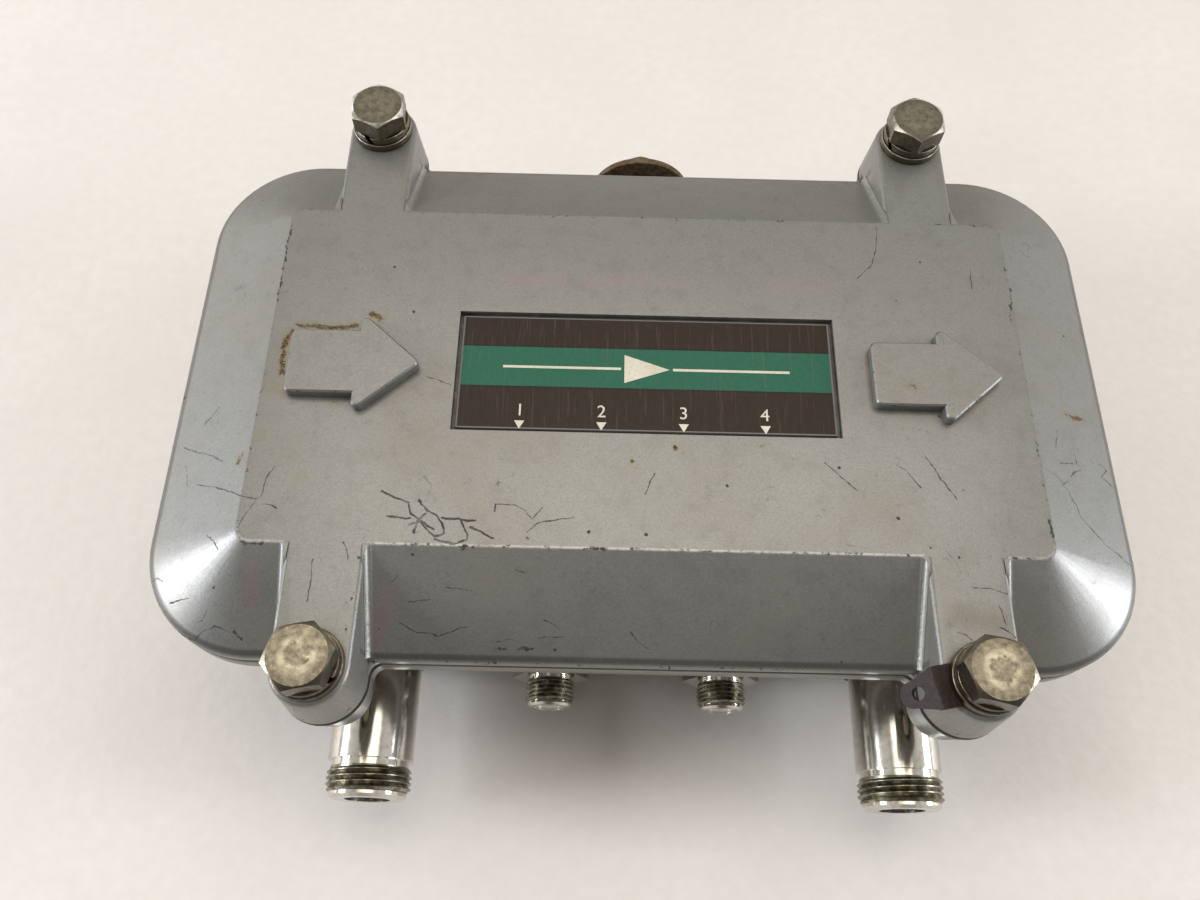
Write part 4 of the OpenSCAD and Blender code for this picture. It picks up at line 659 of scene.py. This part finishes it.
def cut_thread(form, place, start, length, root, crest, pitch, drop_walls):
    """Opens a form where its plain thread is and sets a cut thread in its place."""
    back = place.inverted()
    low, high = start - 0.02, start + length + 0.02

    def on_crest(vert):
        local = (back @ vert.co) / MM
        return low < local.z < high and abs(math.hypot(local.x, local.y) - crest) < 0.03
    if drop_walls:
        walls = [f for f in form.faces if all(on_crest(v) for v in f.verts)]
        bmesh.ops.delete(form, geom=walls, context="FACES")
    else:
        bmesh.ops.delete(form, geom=[v for v in form.verts if on_crest(v)], context="VERTS")
    join(form, thread_skin(start, length, root, crest - 0.02, pitch, place))
    open_edges = [e for e in form.edges if e.is_boundary]
    for z in (start, start + length):
        ring = [e for e in open_edges if all(abs((back @ v.co).z / MM - z) < 0.01 for v in e.verts)]
        bmesh.ops.triangle_fill(form, use_beauty=True, edges=ring)
    bmesh.ops.recalc_face_normals(form, faces=form.faces)


def form_of(curve):
    """The mesh of a curve or of text, as a form."""
    holder = bpy.data.objects.new("drawn", curve)
    bpy.context.scene.collection.objects.link(holder)
    bpy.context.view_layer.update()
    mesh = bpy.data.meshes.new_from_object(holder.evaluated_get(bpy.context.evaluated_depsgraph_get()))
    bpy.data.objects.remove(holder)
    form = bmesh.new()
    form.from_mesh(mesh)
    bpy.data.meshes.remove(mesh)
    bmesh.ops.remove_doubles(form, verts=form.verts, dist=1e-7)
    return form


# The casting, its seal and the plate
def casting(node, inner):
    """A copy of a casting with its unpainted inside marked by the second material."""
    form = node_copy(node)
    for face in form.faces:
        centre = face.calc_center_median() / MM
        if inner(centre, face.normal):
            face.material_index = 1
    obj = piece(node, form, NODE_BODY[node], "cast_paint", [node], smooth=28)
    obj.data.materials.append(FINISH["bare_casting"])


def inside_base(centre, normal):
    """Whether a face of the base, in mm, is on its unpainted inside."""
    r = math.hypot(max(abs(centre.x) - CORNER[0], 0), max(abs(centre.y) - CORNER[1], 0))
    return centre.z > BASE_UNDERSIDE and r < BASE_WALL_R and normal.z > -0.3


def inside_cover(centre, normal):
    """Whether a face of the cover, in mm, is on its unpainted underside."""
    inward = normal.x * centre.x + normal.y * centre.y < -0.05
    return normal.z < -0.3 or (inward and centre.z < HOLLOW_TOP and abs(centre.y) < HOLLOW_HALF_Y)


casting("base_housing", inside_base)
casting("cover", inside_cover)
piece("cover_gasket", node_copy("cover_gasket"), "base", "seal_rubber", ["cover_gasket"])
piece("name_plate", node_copy("name_plate"), "cover", "printed_plate", ["name_plate"], ease=0.12)

# Generic marks printed on the plate: numbers over triangles, and an amplifier sign on the green band
PLATE_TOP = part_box("name_plate")[1].z / MM
INK = 0.03
POINTERS_X = (-22.5, -8.0, 6.6, 21.1)
POINTER_HALF, POINTER_TOP, POINTER_TIP = 0.9, -10.4, -12.0
NUMBER_SIZE, NUMBER_FOOT = 3.4, -9.4


def ink_mark(name, outline):
    """A flat printed mark, as thick as its ink."""
    form = bmesh.new()
    corners = [form.verts.new((x * MM, y * MM, (PLATE_TOP - 0.01) * MM)) for x, y in outline]
    face = form.faces.new(corners)
    grown = bmesh.ops.extrude_face_region(form, geom=[face])["geom"]
    lifted = [v for v in grown if isinstance(v, bmesh.types.BMVert)]
    bmesh.ops.translate(form, vec=(0, 0, (INK + 0.01) * MM), verts=lifted)
    bmesh.ops.recalc_face_normals(form, faces=form.faces)
    piece(name, form, "cover", "plate_ink")


for number, x in enumerate(POINTERS_X, 1):
    ink_mark(f"port_pointer_{number}", [
        (x - POINTER_HALF, POINTER_TOP), (x + POINTER_HALF, POINTER_TOP), (x, POINTER_TIP)])
    words = bpy.data.curves.new("numeral", "FONT")
    words.body = str(number)
    words.size, words.extrude = NUMBER_SIZE * MM, INK / 2 * MM
    words.align_x = "CENTER"
    numeral = form_of(words)
    bmesh.ops.translate(numeral, vec=Vector((x, NUMBER_FOOT, PLATE_TOP + INK / 2)) * MM, verts=numeral.verts)
    piece(f"port_number_{number}", numeral, "cover", "plate_ink")

ink_mark("amplifier_sign", [(-4.0, 3.4), (4.2, 0.5), (-4.0, -2.4)])
ink_mark("signal_line_in", [(-26.0, 0.75), (-4.6, 0.75), (-4.6, 0.25), (-26.0, 0.25)])
ink_mark("signal_line_out", [(4.8, 0.75), (26.0, 0.75), (26.0, 0.25), (4.8, 0.25)])

# Bolts, washers and the earth lug
# Each bolt was left turned as far as the photograph shows, in degrees from the solid's hexagon
for node, turned in (
        ("bolt_front_left", 0), ("bolt_front_right", -20), ("bolt_rear_left", 15), ("bolt_rear_right", 30)):
    low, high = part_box(node)
    axis_at = Matrix.Translation(((low.x + high.x) / 2, (low.y + high.y) / 2, high.z))
    form = node_copy(node)
    bmesh.ops.rotate(form, cent=axis_at.translation, matrix=Matrix.Rotation(math.radians(turned), 3, "Z"),
                     verts=form.verts)
    cut_thread(form, axis_at, *BOLT_THREAD, drop_walls=True)
    piece(node, form, node, "plated_steel", [node], smooth=20)
low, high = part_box("hanger_bolt")
hanger_at = Matrix.Translation((0, high.y, HANGER_Z * MM)) @ Matrix.Rotation(-math.pi / 2, 4, "X")
form = node_copy("hanger_bolt")
cut_thread(form, hanger_at, *HANGER_THREAD, drop_walls=True)
piece("hanger_bolt", form, "hanger_bolt", "rusted_steel", ["hanger_bolt"], smooth=40)
for node, finish, ease in (
        ("spring_washers", "plated_steel", 0.12), ("flat_washers", "plated_steel", 0.2),
        ("earth_lug", "tinned_lug", 0.1), ("hanger_spring_washer", "rusted_steel", 0.12),
        ("hanger_washer", "rusted_steel", 0.25)):
    piece(node, node_copy(node), NODE_BODY[node], finish, [node], ease=ease)

# Jacks with their cut threads
for node, x, thread in (
        ("antenna_jack", -LARGE_X, LARGE_THREAD), ("transceiver_jack", LARGE_X, LARGE_THREAD),
        ("standby_jack", -SMALL_X, SMALL_THREAD), ("power_jack", SMALL_X, SMALL_THREAD)):
    out = Matrix.Translation(Vector((x, PORT_Y, PORT_Z)) * MM) @ Matrix.Rotation(math.pi / 2, 4, "X")
    form = node_copy(node)
    cut_thread(form, out, *thread, drop_walls=False)
    piece(node, form, "base", "nickel_brass", [node], smooth=35)

# Pieces that keep the solids' shape
PLAIN = {
    "jack_insulators": "ptfe", "jack_contacts": "gilt_brass", "jack_seals": "seal_rubber",
    "jack_lock_washers": "nickel_brass", "jack_nuts": "nickel_brass", "small_jack_insulators": "ptfe",
    "small_jack_contacts": "gilt_brass", "small_jack_lock_washers": "nickel_brass",
    "small_jack_nuts": "nickel_brass", "circuit_board": "glass_laminate", "board_screws": "plated_steel",
    "screening_can": "tinplate", "trimmer_bases": "trimmer_plastic", "input_trimmer_rotor": "rotor_brass",
    "output_trimmer_rotor": "rotor_brass", "transistor": "transistor_case", "input_relay": "relay_case",
    "output_relay": "relay_case", "voltage_regulator": "black_epoxy",
    "smoothing_capacitor": "capacitor_sleeve", "resistors": "resistor_lacquer",
}
for node, finish in PLAIN.items():
    piece(node, node_copy(node), NODE_BODY[node], finish, [node])

# Wound coils and leads
COIL_X, COIL_Y, COIL_AXIS_Z = 13.0, 3.8333, 8.0
COIL_R, WIRE_R, COIL_PITCH, COIL_TURNS = 4.0, 0.6, 2.4, 4.5


def coil(node, x):
    """An air-wound coil: a leg up, the turns about an axis along X, and a leg down on the other side."""
    half = COIL_TURNS * COIL_PITCH / 2
    form = bmesh.new()
    ring = bmesh.ops.create_circle(form, segments=14, radius=WIRE_R * MM)["verts"]
    bmesh.ops.translate(form, vec=Vector((x - half, COIL_Y + COIL_R, BOARD_TOP + 0.02)) * MM, verts=ring)

    def draw_on(verts, vec):
        edges = {e for v in verts for e in v.link_edges if all(w in verts for w in e.verts)}
        grown = bmesh.ops.extrude_edge_only(form, edges=list(edges))["geom"]
        grown = [v for v in grown if isinstance(v, bmesh.types.BMVert)]
        bmesh.ops.translate(form, vec=Vector(vec) * MM, verts=grown)
        return grown
    ring = draw_on(ring, (0, 0, COIL_AXIS_Z))
    edges = list({e for v in ring for e in v.link_edges if all(w in ring for w in e.verts)})
    steps = int(COIL_TURNS * 40)
    last = bmesh.ops.spin(
        form, geom=ring + edges, cent=Vector((0, COIL_Y, BOARD_TOP + COIL_AXIS_Z)) * MM, axis=(1, 0, 0),
        angle=COIL_TURNS * math.tau, steps=steps,
        dvec=(COIL_PITCH * COIL_TURNS / steps * MM, 0, 0))["geom_last"]
    draw_on([v for v in last if isinstance(v, bmesh.types.BMVert)], (0, 0, -COIL_AXIS_Z))
    bmesh.ops.holes_fill(form, edges=form.edges)
    bmesh.ops.recalc_face_normals(form, faces=form.faces)
    piece(node, form, "base", "silvered_wire", [node], smooth=60)


coil("input_coil", -COIL_X)
coil("output_coil", COIL_X)


def lead(node, points, radius, finish):
    """A smooth lead along some points, in mm, with flat ends."""
    curve = bpy.data.curves.new(node, "CURVE")
    curve.dimensions = "3D"
    spline = curve.splines.new("POLY")
    spline.points.add(len(points) - 1)
    for point, at in zip(spline.points, points):
        point.co = (*(Vector(at) * MM), 1)
    curve.bevel_depth, curve.bevel_resolution, curve.use_fill_caps = radius * MM, 4, True
    form = form_of(curve)
    bmesh.ops.recalc_face_normals(form, faces=form.faces)
    piece(node, form, "base", finish, [node], smooth=60)


def bend(a, b, c, d, n):
    """Points of a smooth bend from a to d, leaving towards b and arriving from c."""
    a, b, c, d = (Vector(p) for p in (a, b, c, d))
    return [a * (1 - t) ** 3 + b * 3 * t * (1 - t) ** 2 + c * 3 * t * t * (1 - t) + d * t ** 3
            for t in (i / n for i in range(n + 1))]


def jack_lead(node, x, to_x, start_y, foot_y, d, ease, finish):
    """A lead of diameter d from a jack's contact, bending down to its place on the board."""
    start, foot = Vector((x, start_y, PORT_Z)), Vector((to_x, foot_y, BOARD_TOP + 0.02))
    route = bend(start + Vector((0, d, 0)), start + Vector((0, d + ease, 0)),
                 foot + Vector((0, 0, d + ease)), foot + Vector((0, 0, d)), 24)
    lead(node, [start, *route, foot], d / 2, finish)


# Rear ends of the jacks' contacts, where the leads are soldered
CONTACT_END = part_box("jack_contacts")[1].y / MM + 0.02
SMALL_CONTACT_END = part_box("small_jack_contacts")[1].y / MM + 0.02
COAX_D, COAX_EASE, COAX_FOOT_X, COAX_FOOT_Y = 2.2, 5.0, 42.5, -13.5
WIRE_D, WIRE_EASE, WIRE_FOOT_Y = 1.4, 2.5, -19.5
for node, hand in (("antenna_coax", -1), ("transceiver_coax", 1)):
    jack_lead(node, hand * LARGE_X, hand * COAX_FOOT_X, CONTACT_END, COAX_FOOT_Y, COAX_D, COAX_EASE,
              "coax_jacket")
for node, x, finish in (("standby_wire", -SMALL_X, "yellow_wire"), ("power_wire", SMALL_X, "red_wire")):
    jack_lead(node, x, x, SMALL_CONTACT_END, WIRE_FOOT_Y, WIRE_D, WIRE_EASE, finish)

# The bypass runs from relay to relay behind the screen, with a bend at each corner
BYPASS_X, BYPASS_BACK, BYPASS_FROM, BYPASS_Z, BYPASS_BEND = 38.5, 28.7, 12.7, BOARD_TOP + 1.12, 6.0
half = [Vector((-BYPASS_X, BYPASS_FROM, BYPASS_Z))] + bend(
    (-BYPASS_X, BYPASS_BACK - BYPASS_BEND, BYPASS_Z), (-BYPASS_X, BYPASS_BACK - BYPASS_BEND / 3, BYPASS_Z),
    (-BYPASS_X + BYPASS_BEND / 3, BYPASS_BACK, BYPASS_Z),
    (-BYPASS_X + BYPASS_BEND, BYPASS_BACK, BYPASS_Z), 12)
lead("bypass_coax", half + [Vector((-p.x, p.y, p.z)) for p in reversed(half)], COAX_D / 2, "coax_jacket")


# Pale floor, soft lights from the left, the right and above
floor_form = bmesh.new()
bmesh.ops.create_grid(floor_form, x_segments=1, y_segments=1, size=3.0)
floor_mesh = bpy.data.meshes.new("floor")
floor_form.to_mesh(floor_mesh)
floor_form.free()
floor = bpy.data.objects.new("floor", floor_mesh)
bpy.context.scene.collection.objects.link(floor)
floor_mesh.materials.append(grained("pale_table", "#f1ece5", "#ebe5de", 3.0, (0.5, 0.6), 0.05))


def softbox(name, towards, distance, size, power, colour):
    """A rectangular soft light in that direction from the part, facing it."""
    data = bpy.data.lights.new(name, "AREA")
    data.shape, data.size, data.size_y = "RECTANGLE", *size
    data.energy, data.color = power, linear(colour)[:3]
    lamp = bpy.data.objects.new(name, data)
    direction = Vector(towards).normalized()
    lamp.location = Vector((0, 0, 0.05)) + direction * distance
    lamp.rotation_euler = direction.to_track_quat("Z", "Y").to_euler()
    bpy.context.scene.collection.objects.link(lamp)


softbox("left_window", (-0.94, -0.11, 0.33), 1.0, (0.35, 0.26), 6.4, "#f1f6ff")
softbox("right_window", (0.96, -0.09, 0.26), 1.0, (0.35, 0.26), 5.6, "#f1f6ff")
softbox("left_wall", (-0.86, 0.45, 0.25), 1.2, (0.7, 0.5), 0.9, "#f6f8ff")
softbox("ceiling_lamp", (0.03, 0.26, 0.97), 1.2, (1.1, 0.6), 4.5, "#fff4e6")

# The room that the gloss mirrors: dim in front above a pale skyline, a pale ceiling towards the back,
# a dim wall at the back between pale side walls
world = bpy.data.worlds.new("room")
bpy.context.scene.world = world
world.use_nodes = True
sky = world.node_tree
direction = add(sky, "TexCoord").outputs["Generated"]
axes = add(sky, "SeparateXYZ", {0: direction}).outputs
upper = add(sky, "MapRange", {0: axes[2], 1: 0.1, 2: 0.7}).outputs[0]
behind = add(sky, "MapRange", {0: axes[1], 1: -0.35, 2: 0.35}).outputs[0]
wall = stack(sky, "#94918d", [(upper, "#cfccc7")])
front = stack(sky, "#262523", [(upper, "#72706e")])
skyline = add(sky, "MapRange", {0: axes[2], 1: 0.16, 2: 0.08}).outputs[0]
before = add(sky, "MapRange", {0: behind, 1: 0.5, 2: 0.0}).outputs[0]
skyline = add(sky, "Math", {0: skyline, 1: before}, operation="MULTIPLY").outputs[0]
aside = band(sky, axes[0], 0.0, 0.5, 0.85)
rearward = add(sky, "MapRange", {0: axes[1], 1: 0.0, 2: 0.25}).outputs[0]
aside = add(sky, "Math", {0: aside, 1: rearward}, operation="MULTIPLY").outputs[0]
tone = stack(sky, front, [(behind, wall), (skyline, "#d5d2cd"), (aside, "#fdfcfa")])
# A ceiling lamp and the tops of the windows, small enough to show in bright metal alone
PANES = ((-0.2, -0.24, 0.95), (-0.64, -0.08, 0.77), (0.69, -0.06, 0.72))
PANE_EDGE, PANE_CORE = math.cos(math.radians(10)), math.cos(math.radians(6))
for towards in PANES:
    near = add(sky, "VectorMath", {0: direction, 1: Vector(towards).normalized()}, operation="DOT_PRODUCT")
    pane = add(sky, "MapRange", {0: near.outputs["Value"], 1: PANE_EDGE, 2: PANE_CORE}).outputs[0]
    tone = stack(sky, tone, [(pane, "#fffdf6")])
sky.links.new(tone, sky.nodes["Background"].inputs["Color"])
